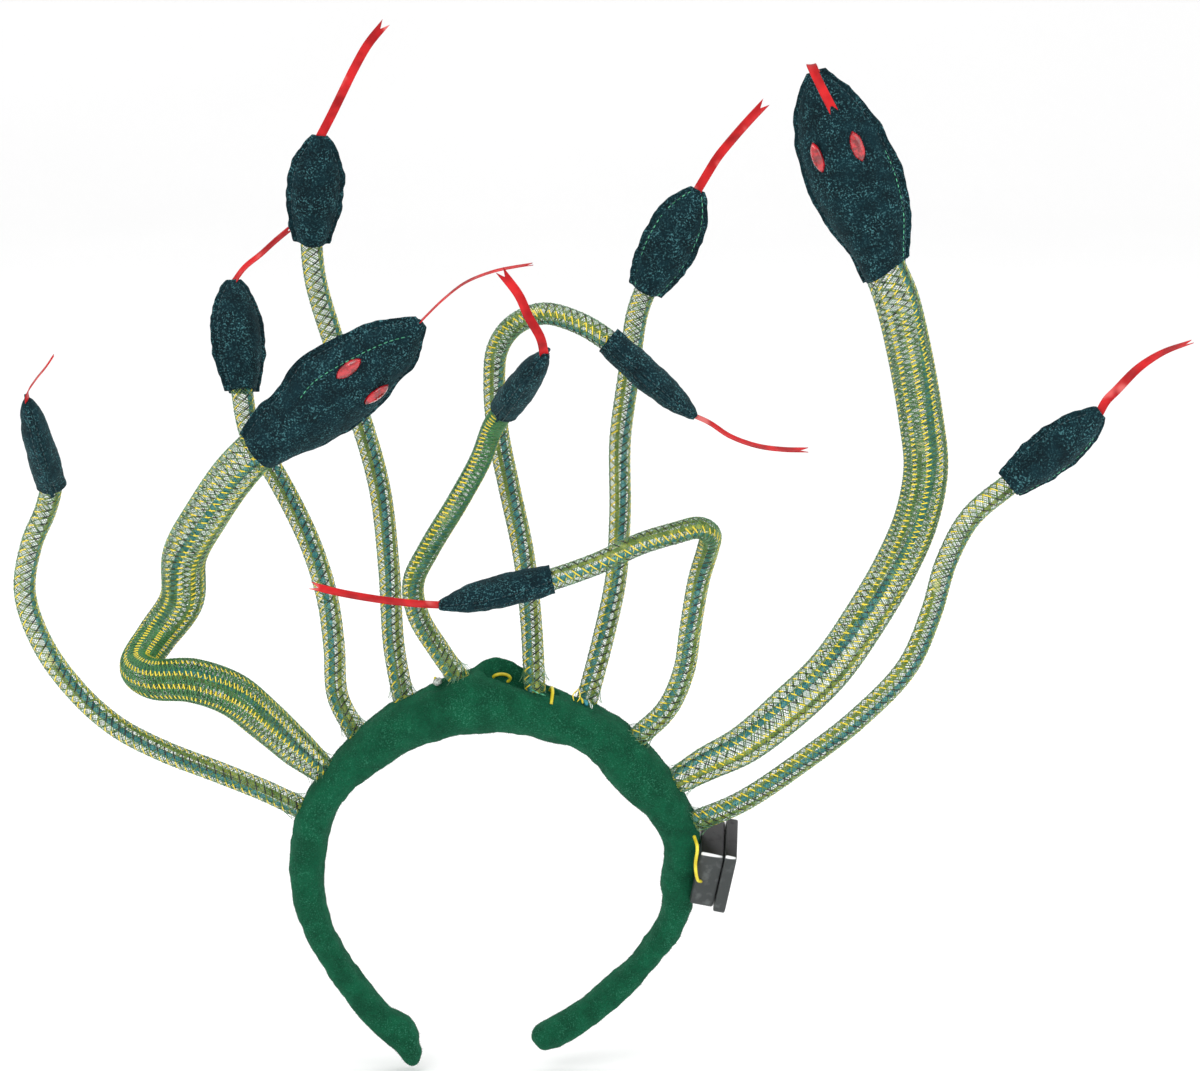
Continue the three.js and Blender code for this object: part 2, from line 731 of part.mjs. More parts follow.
function headSkin(snake, frame, extra = 0) {
  const { head, sections } = kinds[snake.size];
  return loft(sections.map(({ along, width, thickness }) =>
    Array.from({ length: headSides }, (_, side) => {
      const angle = (2 * Math.PI * side) / headSides;
      return frame.neck.clone()
        .addScaledVector(frame.aim, head.length * along)
        .addScaledVector(frame.side, ((head.width * width) / 2 + extra) * Math.cos(angle))
        .addScaledVector(frame.face, ((head.thickness * thickness) / 2 + extra) * Math.sin(angle));
    })));
}

// A domed eye, with its back hollowed to the head that it is sewn on
function eyeSkin(snake, frame, hand) {
  const { head, sections } = kinds[snake.size];
  const after = sections.findIndex(({ along }) => along >= eyeAlong);
  const halfWidth = (head.width * sections[after].width) / 2;
  const crown = ((head.thickness * sections[after].thickness) / 2)
    * Math.sqrt(1 - (eyeSpacing / 2 / halfWidth) ** 2);
  const tilt = Math.asin(eyeSpacing / 2 / halfWidth) * hand;
  const rise = around({ side: frame.face, up: frame.side }, tilt);
  const eye = new THREE.SphereGeometry(1, eyeSegments.round, eyeSegments.tall);
  const across = rise.clone().cross(frame.aim);
  eye.applyMatrix4(new THREE.Matrix4().makeBasis(
    across.multiplyScalar(eyeWidth / 2),
    frame.aim.clone().multiplyScalar(eyeLength / 2),
    rise.clone().multiplyScalar(eyeRise),
  ));
  const place = frame.neck.clone()
    .addScaledVector(frame.aim, head.length * eyeAlong)
    .addScaledVector(frame.side, (hand * eyeSpacing) / 2)
    .addScaledVector(frame.face, crown);
  eye.translate(place.x, place.y, place.z);
  return cut(facingOut(mergeVertices(bareOf(eye))), headSkin(snake, frame, clearance));
}

function bareOf(geometry) {
  geometry.deleteAttribute('normal');
  geometry.deleteAttribute('uv');
  return geometry;
}

// A ribbon of one width that ends in a notch. Its root is held in the nose. With an extra it is the
// room that the ribbon takes there.
function tongueSkin(snake, frame, extra = 0) {
  const { head } = kinds[snake.size];
  const { tongue } = snake;
  const nose = frame.neck.clone().addScaledVector(frame.aim, head.length - ribbonSeat - extra);
  const reach = tongueReach * tongue.reach;
  const places = tongue.route.map((row) => nose.clone().addScaledVector(toward(row), reach));
  const curve = new THREE.CatmullRomCurve3([nose, ...places]);
  const rootFace = toward(tongue.face);
  const tipFace = toward(tongue.tipFace ?? tongue.face);
  const steps = places.length + 1;
  return loft(Array.from({ length: steps + 1 }, (_, step) => {
    const share = step / steps;
    const at = curve.getPoint(share);
    const ahead = curve.getTangent(share);
    const face = rootFace.clone().lerp(tipFace, share);
    face.addScaledVector(ahead, -face.dot(ahead)).normalize();
    const side = ahead.clone().cross(face);
    const notch = step === steps ? forkDepth : 0;
    const point = (hand, layer) => at.clone()
      .addScaledVector(side, hand * (ribbonWidth / 2 + extra))
      .addScaledVector(face, layer * (ribbonThickness / 2 + extra))
      .addScaledVector(ahead, hand === 0 ? -notch : 0);
    return [point(-1, 1), point(0, 1), point(1, 1), point(1, -1), point(0, -1), point(-1, -1)];
  }));
}

// Battery box, turned as it hangs on the band

function boxPlacement() {
  const { inner, roll } = bandAt(boxTurn);
  const middle = bandPlace(boxTurn, inner + roll - boxSink + (boxBodyWidth + boxLidWidth) / 2, 0);
  const turned = new THREE.Euler(radians(boxFrontDown), radians(boxLean), 0, 'YXZ');
  return { middle, turned };
}

// A slab with rounded upright corners and narrow slanted edges, from one place across to another
function slab(from, to, overhang) {
  const halfDepth = boxDepth / 2 + overhang - boxEdge;
  const halfHeight = boxHeight / 2 + overhang - boxEdge;
  const outline = new THREE.Shape();
  outline.moveTo(-halfDepth + boxCorner, -halfHeight);
  outline.lineTo(halfDepth - boxCorner, -halfHeight);
  outline.quadraticCurveTo(halfDepth, -halfHeight, halfDepth, -halfHeight + boxCorner);
  outline.lineTo(halfDepth, halfHeight - boxCorner);
  outline.quadraticCurveTo(halfDepth, halfHeight, halfDepth - boxCorner, halfHeight);
  outline.lineTo(-halfDepth + boxCorner, halfHeight);
  outline.quadraticCurveTo(-halfDepth, halfHeight, -halfDepth, halfHeight - boxCorner);
  outline.lineTo(-halfDepth, -halfHeight + boxCorner);
  outline.quadraticCurveTo(-halfDepth, -halfHeight, -halfDepth + boxCorner, -halfHeight);
  const block = new THREE.ExtrudeGeometry(outline, {
    depth: to - from - 2 * boxEdge,
    bevelThickness: boxEdge,
    bevelSize: boxEdge,
    bevelSegments: 1,
    curveSegments: 2,
  });
  block.rotateX(Math.PI / 2);
  block.rotateZ(Math.PI / 2);
  return block.translate(from + boxEdge, 0, 0);
}

function placed(geometry) {
  const { middle, turned } = boxPlacement();
  geometry.applyMatrix4(new THREE.Matrix4().makeRotationFromEuler(turned));
  return geometry.translate(middle.x, middle.y, middle.z);
}

const boxLeft = -(boxBodyWidth + boxLidWidth) / 2;
const boxSplit = boxLeft + boxBodyWidth;

function boxBodySkin() {
  return placed(slab(boxLeft, boxSplit - clearance / 2, 0));
}

function boxLidSkin() {
  return placed(slab(boxSplit + clearance / 2, -boxLeft, boxLidOverhang));
}

function boxSpace() {
  return placed(slab(boxLeft - clearance, -boxLeft + clearance, boxLidOverhang + clearance));
}

// Wires that show outside

function wireSkin(places, extra = 0) {
  const stations = stationsAlong(places, places.map(() => 1), stationSpacing);
  return loft(lengthened(stations, extra).map((station) =>
    roundRing(station, wireDiameter / 2 + extra, wireSides)));
}

// A small ring of wire that stands in the slit
function loopSkin(extra = 0) {
  const { inner, roll } = bandAt(slitTurn);
  const floor = bandPlace(slitTurn, inner + roll - slitDepth, slitBack);
  const middle = new THREE.Vector3(loopAcross, slitBack, floor.z + loopHeight / 2 + wireDiameter / 2);
  return loft(Array.from({ length: loopSteps }, (_, step) => {
    const angle = (2 * Math.PI * step) / loopSteps;
    const out = new THREE.Vector3(Math.cos(angle), 0, Math.sin(angle));
    return Array.from({ length: loopSides }, (_, side) => {
      const turn = (2 * Math.PI * side) / loopSides;
      const radius = wireDiameter / 2 + extra;
      const place = new THREE.Vector3(
        (loopWidth / 2 - wireDiameter / 2) * out.x,
        0,
        (loopHeight / 2 - wireDiameter / 2) * out.z,
      );
      place.addScaledVector(out, radius * Math.cos(turn));
      place.y += radius * Math.sin(turn);
      return place.applyAxisAngle(new THREE.Vector3(1, 0, 0), radians(loopLean)).add(middle);
    });
  }), true);
}

function slitWirePlaces() {
  return slitWireRoute.map(({ turn, forward, out }) => onBand(turn, forward, wireDiameter * out));
}

function batteryWirePlaces() {
  const { middle } = boxPlacement();
  return batteryWireRoute.map(({ across, up, front }) => new THREE.Vector3(
    middle.x + boxLeft + boxBodyWidth * across,
    middle.y - boxDepth * front,
    middle.z + boxHeight * up,
  ));
}

// Assembly

const headpiece = new THREE.Group();

function addPiece(name, geometry, finish, carrier = headpiece) {
  geometry.computeVertexNormals();
  const piece = new THREE.Mesh(geometry, new THREE.MeshStandardMaterial(finish));
  piece.name = name;
  carrier.add(piece);
}

const paths = snakes.map(snakePath);
const tubeSpaces = snakes.map((snake, index) => tubeSpace(snake, paths[index].stations));
const slitWire = slitWirePlaces();
const batteryWire = batteryWirePlaces();

const headband = cut(
  bandSkin(),
  slitSpace(),
  ...tubeSpaces,
  boxSpace(),
  loopSkin(clearance),
  wireSkin(slitWire, clearance),
  wireSkin(batteryWire, clearance),
);
addPiece('headband', headband, feltFinish);

snakes.forEach((snake, index) => {
  const { neck, aim, stations } = paths[index];
  const frame = headFrame(snake, neck, aim);
  const carrier = new THREE.Group();
  addPiece(`${snake.name}_tube`, tubeSkin(snake, stations), netFinish, carrier);
  addPiece(`${snake.name}_light`, lightSkin(snake, stations), wireFinish, carrier);
  const head = cut(headSkin(snake, frame), tubeSpaces[index], tongueSkin(snake, frame, clearance));
  addPiece(`${snake.name}_head`, head, velvetFinish, carrier);
  addPiece(`${snake.name}_tongue`, tongueSkin(snake, frame), ribbonFinish, carrier);
  if (snake.size === 'large') {
    addPiece(`${snake.name}_eye_left`, eyeSkin(snake, frame, -1), eyeFinish, carrier);
    addPiece(`${snake.name}_eye_right`, eyeSkin(snake, frame, 1), eyeFinish, carrier);
  }
  headpiece.add(carrier);
});

addPiece('battery_box_body', cut(boxBodySkin(), wireSkin(batteryWire, clearance)), boxFinish);
addPiece('battery_box_lid', boxLidSkin(), boxFinish);
addPiece('wire_loop', loopSkin(), wireFinish);
addPiece('slit_wire', wireSkin(slitWire), wireFinish);
addPiece('battery_wire', wireSkin(batteryWire), wireFinish);

export default headpiece;
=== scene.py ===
"""Light-up medusa headpiece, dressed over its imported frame.

Sizes are in millimetres until a mesh is made, and meshes are in metres, in the frame's own axes:
+Z up, the wearer looks along -Y, and the origin is where the band sits on the crown of the head.
"""

import logging
import math
from collections.abc import Callable, Iterable, Sequence
from dataclasses import dataclass, field
from enum import Enum

import bmesh
import bpy
import numpy as np
from mathutils import Euler, Matrix, Vector, noise


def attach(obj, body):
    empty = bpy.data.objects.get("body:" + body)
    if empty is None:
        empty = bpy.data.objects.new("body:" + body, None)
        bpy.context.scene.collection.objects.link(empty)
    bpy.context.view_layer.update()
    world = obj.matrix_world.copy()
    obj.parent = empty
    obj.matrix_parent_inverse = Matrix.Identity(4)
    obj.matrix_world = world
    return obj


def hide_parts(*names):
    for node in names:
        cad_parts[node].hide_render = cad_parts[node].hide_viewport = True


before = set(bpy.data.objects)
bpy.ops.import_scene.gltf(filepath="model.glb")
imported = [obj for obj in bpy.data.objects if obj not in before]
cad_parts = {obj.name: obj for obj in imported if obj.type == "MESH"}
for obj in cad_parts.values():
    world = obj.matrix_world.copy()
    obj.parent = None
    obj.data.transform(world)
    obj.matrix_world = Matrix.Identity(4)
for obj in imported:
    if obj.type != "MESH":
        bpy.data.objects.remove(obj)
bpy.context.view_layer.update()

log = logging.getLogger("headpiece")
MM = 0.001
TURN = 2 * math.pi
BODY = "root"

Array = np.ndarray
Colour = tuple[float, float, float]
Piece = bpy.types.Object
Material = bpy.types.Material
Node = bpy.types.Node
Socket = bpy.types.NodeSocket
Group = bpy.types.NodeTree


class Slot(Enum):
    """The record's material slots."""

    FELT = "felt"
    NET = "net"
    VELVET = "velvet"
    RIBBON = "ribbon"
    EYE = "eye"
    WIRE = "wire"
    BOX = "box"


class Size(Enum):
    """The two kinds of snake."""

    SMALL = "small"
    LARGE = "large"


class Profile(Enum):
    """The section of a strand."""

    ROUND = 0
    FLAT = 1


# Directions and tables


def toward(across: float, up: float, front: float) -> Array:
    """A direction from its parts across, up and to the front."""
    return np.array([across, -front, up], float)


def unit(vector: Array) -> Array:
    """The vector, or each row of vectors, at length 1."""
    return vector / np.linalg.norm(vector, axis=-1, keepdims=True)


def between(x: Array | float, low: float, high: float) -> Array:
    """A smooth step from 0 at low to 1 at high."""
    share = np.clip((np.asarray(x, float) - low) / (high - low), 0, 1)
    return share * share * (3 - 2 * share)


def cubic(t: Array | float, starts: tuple, ends: tuple) -> Array:
    """A cubic from one place and slope to another, as t goes from 0 to 1."""
    first, slope = starts
    last, last_slope = ends
    return (
        (2 * t**3 - 3 * t**2 + 1) * first
        + (t**3 - 2 * t**2 + t) * slope
        + (3 * t**2 - 2 * t**3) * last
        + (t**3 - t**2) * last_slope
    )


def smooth_table(x: Array, xs: Sequence[float], ys: Sequence[float]) -> Array:
    """Values of a smooth curve through a table.

    Args:
        x: Where the values are wanted.
        xs: The table's places, rising.
        ys: The table's values.

    Returns:
        One value for each place.
    """
    xs, ys = np.asarray(xs, float), np.asarray(ys, float)
    slopes = np.gradient(ys, xs)
    span = np.clip(np.searchsorted(xs, x, side="right") - 1, 0, len(xs) - 2)
    width = xs[span + 1] - xs[span]
    t = np.clip((x - xs[span]) / width, 0, 1)
    return cubic(t, (ys[span], width * slopes[span]), (ys[span + 1], width * slopes[span + 1]))


def smooth_route(points: Array, steps: int) -> Array:
    """A centripetal curve through points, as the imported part's own routes are drawn.

    Args:
        points: The places it passes, one a row.
        steps: The steps that each span is cut into.

    Returns:
        The curve's points, one a row.
    """
    points = np.asarray(points, float)
    ends = np.vstack([2 * points[0] - points[1], points, 2 * points[-1] - points[-2]])
    curve = [points[0]]
    for p0, p1, p2, p3 in zip(ends, ends[1:], ends[2:], ends[3:]):
        d0, d1, d2 = (max(np.linalg.norm(b - a), 1e-6) ** 0.5 for a, b in ((p0, p1), (p1, p2), (p2, p3)))
        m1 = d1 * ((p1 - p0) / d0 - (p2 - p0) / (d0 + d1) + (p2 - p1) / d1)
        m2 = d1 * ((p2 - p1) / d1 - (p3 - p1) / (d1 + d2) + (p3 - p2) / d2)
        curve += [cubic(step / steps, (p1, m1), (p2, m2)) for step in range(1, steps + 1)]
    return np.array(curve)


def lengths_along(points: Array) -> Array:
    """How far each point lies along the line through them."""
    return np.concatenate([[0], np.cumsum(np.linalg.norm(np.diff(points, axis=0), axis=1))])


def resampled(values: Array, measure: Array, wanted: Array) -> Array:
    """Rows of values read at wanted places of a rising measure."""
    values = np.atleast_2d(np.asarray(values, float).T)
    rows = np.array([np.interp(wanted, measure, row) for row in values])
    return rows[0] if len(rows) == 1 else rows.T


@dataclass
class Line:
    """A line through space with cross directions that turn as little as they can."""

    points: Array
    first_side: tuple[float, float, float] = (0, 1, 0)
    ahead: Array = field(init=False)
    side: Array = field(init=False)
    up: Array = field(init=False)

    def __post_init__(self) -> None:
        """Works out the line's three directions at each point."""
        self.ahead = unit(np.gradient(self.points, axis=0))
        side = np.array(self.first_side, float)
        sides = []
        for ahead in self.ahead:
            side = unit(side - ahead * side.dot(ahead))
            sides.append(side)
        self.side = np.array(sides)
        self.up = np.cross(self.ahead, self.side)

    def ring(self, index: int, radius: float, sides: int) -> Array:
        """A round ring of points across the line at one of its points."""
        angles = TURN * np.arange(sides) / sides
        spokes = np.outer(np.cos(angles), self.side[index]) + np.outer(np.sin(angles), self.up[index])
        return self.points[index] + radius * spokes


# Meshes


def new_piece(name: str, points: Array, faces: Iterable[Sequence[int]]) -> Piece:
    """An object at the origin, with outward faces, from points in millimetres.

    Args:
        name: The piece's name.
        points: Its points, one a row.
        faces: Its faces, as point numbers.

    Returns:
        The new object.
    """
    mesh = bpy.data.meshes.new(name)
    mesh.from_pydata([tuple(point) for point in np.asarray(points) * MM], [], [tuple(face) for face in faces])
    shape = bmesh.new()
    shape.from_mesh(mesh)
    bmesh.ops.recalc_face_normals(shape, faces=shape.faces)
    shape.to_mesh(mesh)
    shape.free()
    mesh.shade_smooth()
    piece = bpy.data.objects.new(name, mesh)
    bpy.context.scene.collection.objects.link(piece)
    return piece


def loft(name: str, rings: Sequence[Array], looped: bool = False) -> Piece:
    """A closed skin through rings of points, with a fan on each open end."""
    sides = len(rings[0])
    points = [point for ring in rings for point in ring]
    faces = []
    for span in range(len(rings) if looped else len(rings) - 1):
        here, there = span * sides, (span + 1) % len(rings) * sides
        for side in range(sides):
            after = (side + 1) % sides
            faces.append((here + side, here + after, there + after, there + side))
    if not looped:
        for start in (0, (len(rings) - 1) * sides):
            points.append(np.mean(points[start : start + sides], axis=0))
            faces += [(start + side, start + (side + 1) % sides, len(points) - 1) for side in range(sides)]
    return new_piece(name, np.array(points), faces)


def sweep(name: str, line: Line, radii: Sequence[float], sides: int) -> Piece:
    """A round tube along a line, with a radius for each of its points."""
    return loft(name, [line.ring(index, radius, sides) for index, radius in enumerate(radii)])


def joined(name: str, pieces: Sequence[Piece]) -> Piece:
    """One object made of several, which are taken out."""
    shape = bmesh.new()
    materials: list[Material] = []
    for piece in pieces:
        offset = len(shape.faces)
        shape.from_mesh(piece.data)
        shape.faces.ensure_lookup_table()
        own = list(piece.data.materials)
        for material in own:
            if material not in materials:
                materials.append(material)
        for face in shape.faces[offset:]:
            face.material_index = materials.index(own[face.material_index]) if own else 0
    mesh = bpy.data.meshes.new(name)
    shape.to_mesh(mesh)
    shape.free()
    for material in materials:
        mesh.materials.append(material)
    for piece in pieces:
        bpy.data.objects.remove(piece)
    whole = bpy.data.objects.new(name, mesh)
    bpy.context.scene.collection.objects.link(whole)
    return whole


def displaced(piece: Piece, move: Callable[[Vector], float]) -> None:
    """Moves each vertex along its normal by move(place), in millimetres."""
    mesh = piece.data
    normals = [vertex.normal.copy() for vertex in mesh.vertices]
    for vertex, normal in zip(mesh.vertices, normals):
        vertex.co += normal * move(vertex.co / MM) * MM
    mesh.update()


def lumps(place: Vector, scale: float, seed: float) -> float:
    """Soft noise between -1 and 1 whose lumps are about scale wide."""
    return noise.noise(place / scale + Vector((seed, seed * 1.7, -seed)))


def keep(
    piece: Piece,
    material: Material | None = None,
    nodes: Sequence[str] = (),
) -> None:
    """Gives a finished piece its finish, its body and the nodes that it stands for.

    Args:
        piece: The piece.
        material: Its material, where its mesh has none yet.
        nodes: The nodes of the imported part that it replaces.
    """
    if material is not None:
        piece.data.materials.clear()
        piece.data.materials.append(material)
    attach(piece, BODY)
    if nodes:
        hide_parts(*nodes)
    triangles = sum(len(face.vertices) - 2 for face in piece.data.polygons)
    log.info("%s: %d triangles", piece.name, triangles)


# Node trees


class Nodes:
    """Help with the nodes of a tree, a material or a shader group."""

    def __init__(self, tree: Group) -> None:
        """Works on that tree."""
        self.tree = tree

    def node(self, kind: str, inputs: dict | None = None, **settings: object) -> Node:
        """A new node with its settings, and with its inputs set or linked."""
        made = self.tree.nodes.new(kind)
        for title, value in settings.items():
            setattr(made, title, value)
        for title, value in (inputs or {}).items():
            if isinstance(value, Socket):
                self.tree.links.new(value, made.inputs[title])
            else:
                made.inputs[title].default_value = value
        return made

    def noise(self, place: Socket, scale: object, detail: float = 2, rough: float = 0.5) -> Socket:
        """Soft noise from 0 to 1."""
        inputs = {"Vector": place, "Scale": scale, "Detail": detail, "Roughness": rough}
        return self.node("ShaderNodeTexNoise", inputs).outputs[0]

    def math(self, operation: str, *values: object, clamp: bool = False) -> Socket:
        """The result of an operation on numbers."""
        inputs = dict(enumerate(values))
        return self.node("ShaderNodeMath", inputs, operation=operation, use_clamp=clamp).outputs[0]

    def ramp(self, value: Socket, low: float, high: float) -> Socket:
        """0 at low to 1 at high, with soft ends."""
        inputs = {"Value": value, "From Min": low, "From Max": high}
        return self.node("ShaderNodeMapRange", inputs, interpolation_type="SMOOTHSTEP").outputs[0]

    def mix(self, share: object, first: object, second: object) -> Socket:
        """A mix of two colours."""
        made = self.node("ShaderNodeMix", {0: share}, data_type="RGBA")
        for socket, value in ((made.inputs[6], first), (made.inputs[7], second)):
            if isinstance(value, Socket):
                self.tree.links.new(value, socket)
            else:
                socket.default_value = (*value, 1)
        return made.outputs[2]


class Tree(Nodes):
    """A Geometry Nodes tree with named inputs, built node by node."""

    def __init__(self, name: str, inputs: dict[str, tuple[str, object]]) -> None:
        """Starts a tree.

        Args:
            name: The tree's name.
            inputs: The type and the first value of each named input.
        """
        super().__init__(bpy.data.node_groups.new(name, "GeometryNodeTree"))
        face = self.tree.interface
        face.new_socket("Geometry", in_out="INPUT", socket_type="NodeSocketGeometry")
        self.keys: dict[str, str] = {}
        for title, (kind, first) in inputs.items():
            socket = face.new_socket(title, in_out="INPUT", socket_type=f"NodeSocket{kind}")
            if first is not None:
                socket.default_value = first
            self.keys[title] = socket.identifier
        face.new_socket("Geometry", in_out="OUTPUT", socket_type="NodeSocketGeometry")
        self.given = self.tree.nodes.new("NodeGroupInput").outputs
        self.result = self.tree.nodes.new("NodeGroupOutput").inputs

    def vector(self, operation: str, *values: object) -> Socket:
        """The result of an operation on vectors."""
        return self.node("ShaderNodeVectorMath", dict(enumerate(values)), operation=operation).outputs[0]

    def scaled(self, vector: Socket, share: object) -> Socket:
        """A vector times a number."""
        inputs = {0: vector, "Scale": share}
        return self.node("ShaderNodeVectorMath", inputs, operation="SCALE").outputs[0]

    def stored(self, title: str, kind: str) -> Socket:
        """The value of a named attribute."""
        return self.node("GeometryNodeInputNamedAttribute", {"Name": title}, data_type=kind).outputs["Attribute"]

    def marked(self, geometry: Socket, title: str, value: Socket, domain: str = "POINT") -> Socket:
        """The geometry with a number kept on it under a name."""
        inputs = {"Geometry": geometry, "Name": title, "Value": value}
        kept = self.node("GeometryNodeStoreNamedAttribute", inputs, data_type="FLOAT", domain=domain)
        return kept.outputs[0]

    def close(self, geometry: Socket, material: Socket) -> None:
        """Ends the tree: realised, and in its material."""
        real = self.node("GeometryNodeRealizeInstances", {"Geometry": geometry}).outputs[0]
        dressed = self.node("GeometryNodeSetMaterial", {"Geometry": real, "Material": material}).outputs[0]
        self.tree.links.new(dressed, self.result["Geometry"])

    def grown(self, name: str, base: Piece, values: dict[str, object]) -> Piece:
        """A plain mesh of what the tree makes from a base object.

        Args:
            name: The new piece's name.
            base: The object that the tree works on, which stays as it was.
            values: The tree's inputs, by name.

        Returns:
            The new piece.
        """
        worker = bpy.data.objects.new(name + "_maker", base.data)
        bpy.context.scene.collection.objects.link(worker)
        modifier = worker.modifiers.new("maker", "NODES")
        modifier.node_group = self.tree
        for title, value in values.items():
            modifier[self.keys[title]] = value
        seen = worker.evaluated_get(bpy.context.evaluated_depsgraph_get())
        mesh = bpy.data.meshes.new_from_object(seen)
        mesh.name = name
        worker.modifiers.remove(modifier)
        bpy.data.objects.remove(worker)
        piece = bpy.data.objects.new(name, mesh)
        bpy.context.scene.collection.objects.link(piece)
        return piece


def twine_tree() -> Tree:
    """A tree that winds strands round a path which carries side, up, girth and winding."""
    tree = Tree(
        "twined_strands",
        {
            "Strands": ("Int", 16),
            "Turn step": ("Float", 0.4),
            "First turn": ("Float", 0.0),
            "Winding share": ("Float", 1.0),
            "Unevenness": ("Float", 0.0),
            "Inset": ("Float", 0.0),
            "Flat": ("Bool", False),
            "Width": ("Float", 0.0002),
            "Thickness": ("Float", 0.0001),
            "Sides": ("Int", 3),
            "Seed": ("Int", 0),
            "Material": ("Material", None),
        },
    )
    given = tree.given
    path = given["Geometry"]
    size = tree.node("GeometryNodeAttributeDomainSize", {"Geometry": path}, component="MESH")
    straight = tree.node("GeometryNodeCurvePrimitiveLine").outputs[0]
    strand = tree.node("GeometryNodeResampleCurve", {"Curve": straight, "Count": size.outputs["Point Count"]})
    cloud = tree.node("GeometryNodePoints", {"Count": given["Strands"]}).outputs[0]
    copies = tree.node("GeometryNodeInstanceOnPoints", {"Points": cloud, "Instance": strand.outputs[0]}).outputs[0]
    number = tree.node("GeometryNodeInputIndex").outputs[0]
    chance = tree.node(
        "FunctionNodeRandomValue", {2: -0.5, 3: 0.5, 7: number, 8: given["Seed"]}, data_type="FLOAT"
    )
    uneven = tree.math("MULTIPLY", chance.outputs[1], given["Unevenness"])
    turn = tree.math("MULTIPLY", tree.math("ADD", number, uneven), given["Turn step"])
    turn = tree.math("ADD", turn, given["First turn"])
    marked = tree.marked(copies, "turn", turn, "INSTANCE")
    strands = tree.node("GeometryNodeRealizeInstances", {"Geometry": marked}).outputs[0]
    place_number = tree.node("GeometryNodeSplineParameter").outputs["Index"]

    def along(value: Socket, kind: str) -> Socket:
        """The path's value at this point of a strand."""
        inputs = {"Geometry": path, "Value": value, "Index": place_number}
        return tree.node("GeometryNodeSampleIndex", inputs, data_type=kind).outputs[0]

    place = along(tree.node("GeometryNodeInputPosition").outputs[0], "FLOAT_VECTOR")
    side = along(tree.stored("side", "FLOAT_VECTOR"), "FLOAT_VECTOR")
    up = along(tree.stored("up", "FLOAT_VECTOR"), "FLOAT_VECTOR")
    girth = along(tree.stored("girth", "FLOAT"), "FLOAT")
    winding = along(tree.stored("winding", "FLOAT"), "FLOAT")
    tight = along(tree.stored("tight", "FLOAT"), "FLOAT")
    angle = tree.math("MULTIPLY_ADD", winding, given["Winding share"], tree.stored("turn", "FLOAT"))
    spoke = tree.vector(
        "ADD",
        tree.scaled(side, tree.math("COSINE", angle)),
        tree.scaled(up, tree.math("SINE", angle)),
    )
    reach = tree.math("SUBTRACT", girth, given["Inset"])
    wound = tree.vector("ADD", place, tree.scaled(spoke, reach))
    set_out = tree.node("GeometryNodeSetPosition", {"Geometry": strands, "Position": wound}).outputs[0]
    around = tree.marked(set_out, "around", tree.math("DIVIDE", angle, TURN))
    drawn = tree.marked(around, "tight", tight)
    faced = tree.node("GeometryNodeSetCurveNormal", {"Curve": drawn, "Normal": spoke}, mode="FREE").outputs[0]
    flat = tree.node(
        "GeometryNodeCurvePrimitiveQuadrilateral", {"Width": given["Thickness"], "Height": given["Width"]}
    ).outputs[0]
    radius = tree.math("MULTIPLY", given["Width"], 0.5)
    round_one = tree.node("GeometryNodeCurvePrimitiveCircle", {"Resolution": given["Sides"], "Radius": radius})
    section = tree.node(
        "GeometryNodeSwitch",
        {"Switch": given["Flat"], "False": round_one.outputs[0], "True": flat},
        input_type="GEOMETRY",
    ).outputs[0]
    skin = tree.node("GeometryNodeCurveToMesh", {"Curve": faced, "Profile Curve": section, "Fill Caps": True})
    tree.close(skin.outputs[0], given["Material"])
    return tree


@dataclass(frozen=True)
class Twine:
    """How strands are wound round a path, with sizes in millimetres and turns in radians."""

    count: int
    width: float
    thickness: float
    material: Material
    profile: Profile = Profile.FLAT
    sides: int = 3
    spacing: float = 0
    first: float = 0
    winding: float = 0
    unevenness: float = 0
    inset: float = 0
    seed: int = 0

    def inputs(self) -> dict[str, object]:
        """The twine tree's inputs."""
        return {
            "Strands": self.count,
            "Turn step": float(self.spacing),
            "First turn": float(self.first),
            "Winding share": float(self.winding),
            "Unevenness": float(self.unevenness),
            "Inset": self.inset * MM,
            "Flat": self.profile is Profile.FLAT,
            "Width": self.width * MM,
            "Thickness": self.thickness * MM,
            "Sides": self.sides,
            "Seed": self.seed,
            "Material": self.material,
        }


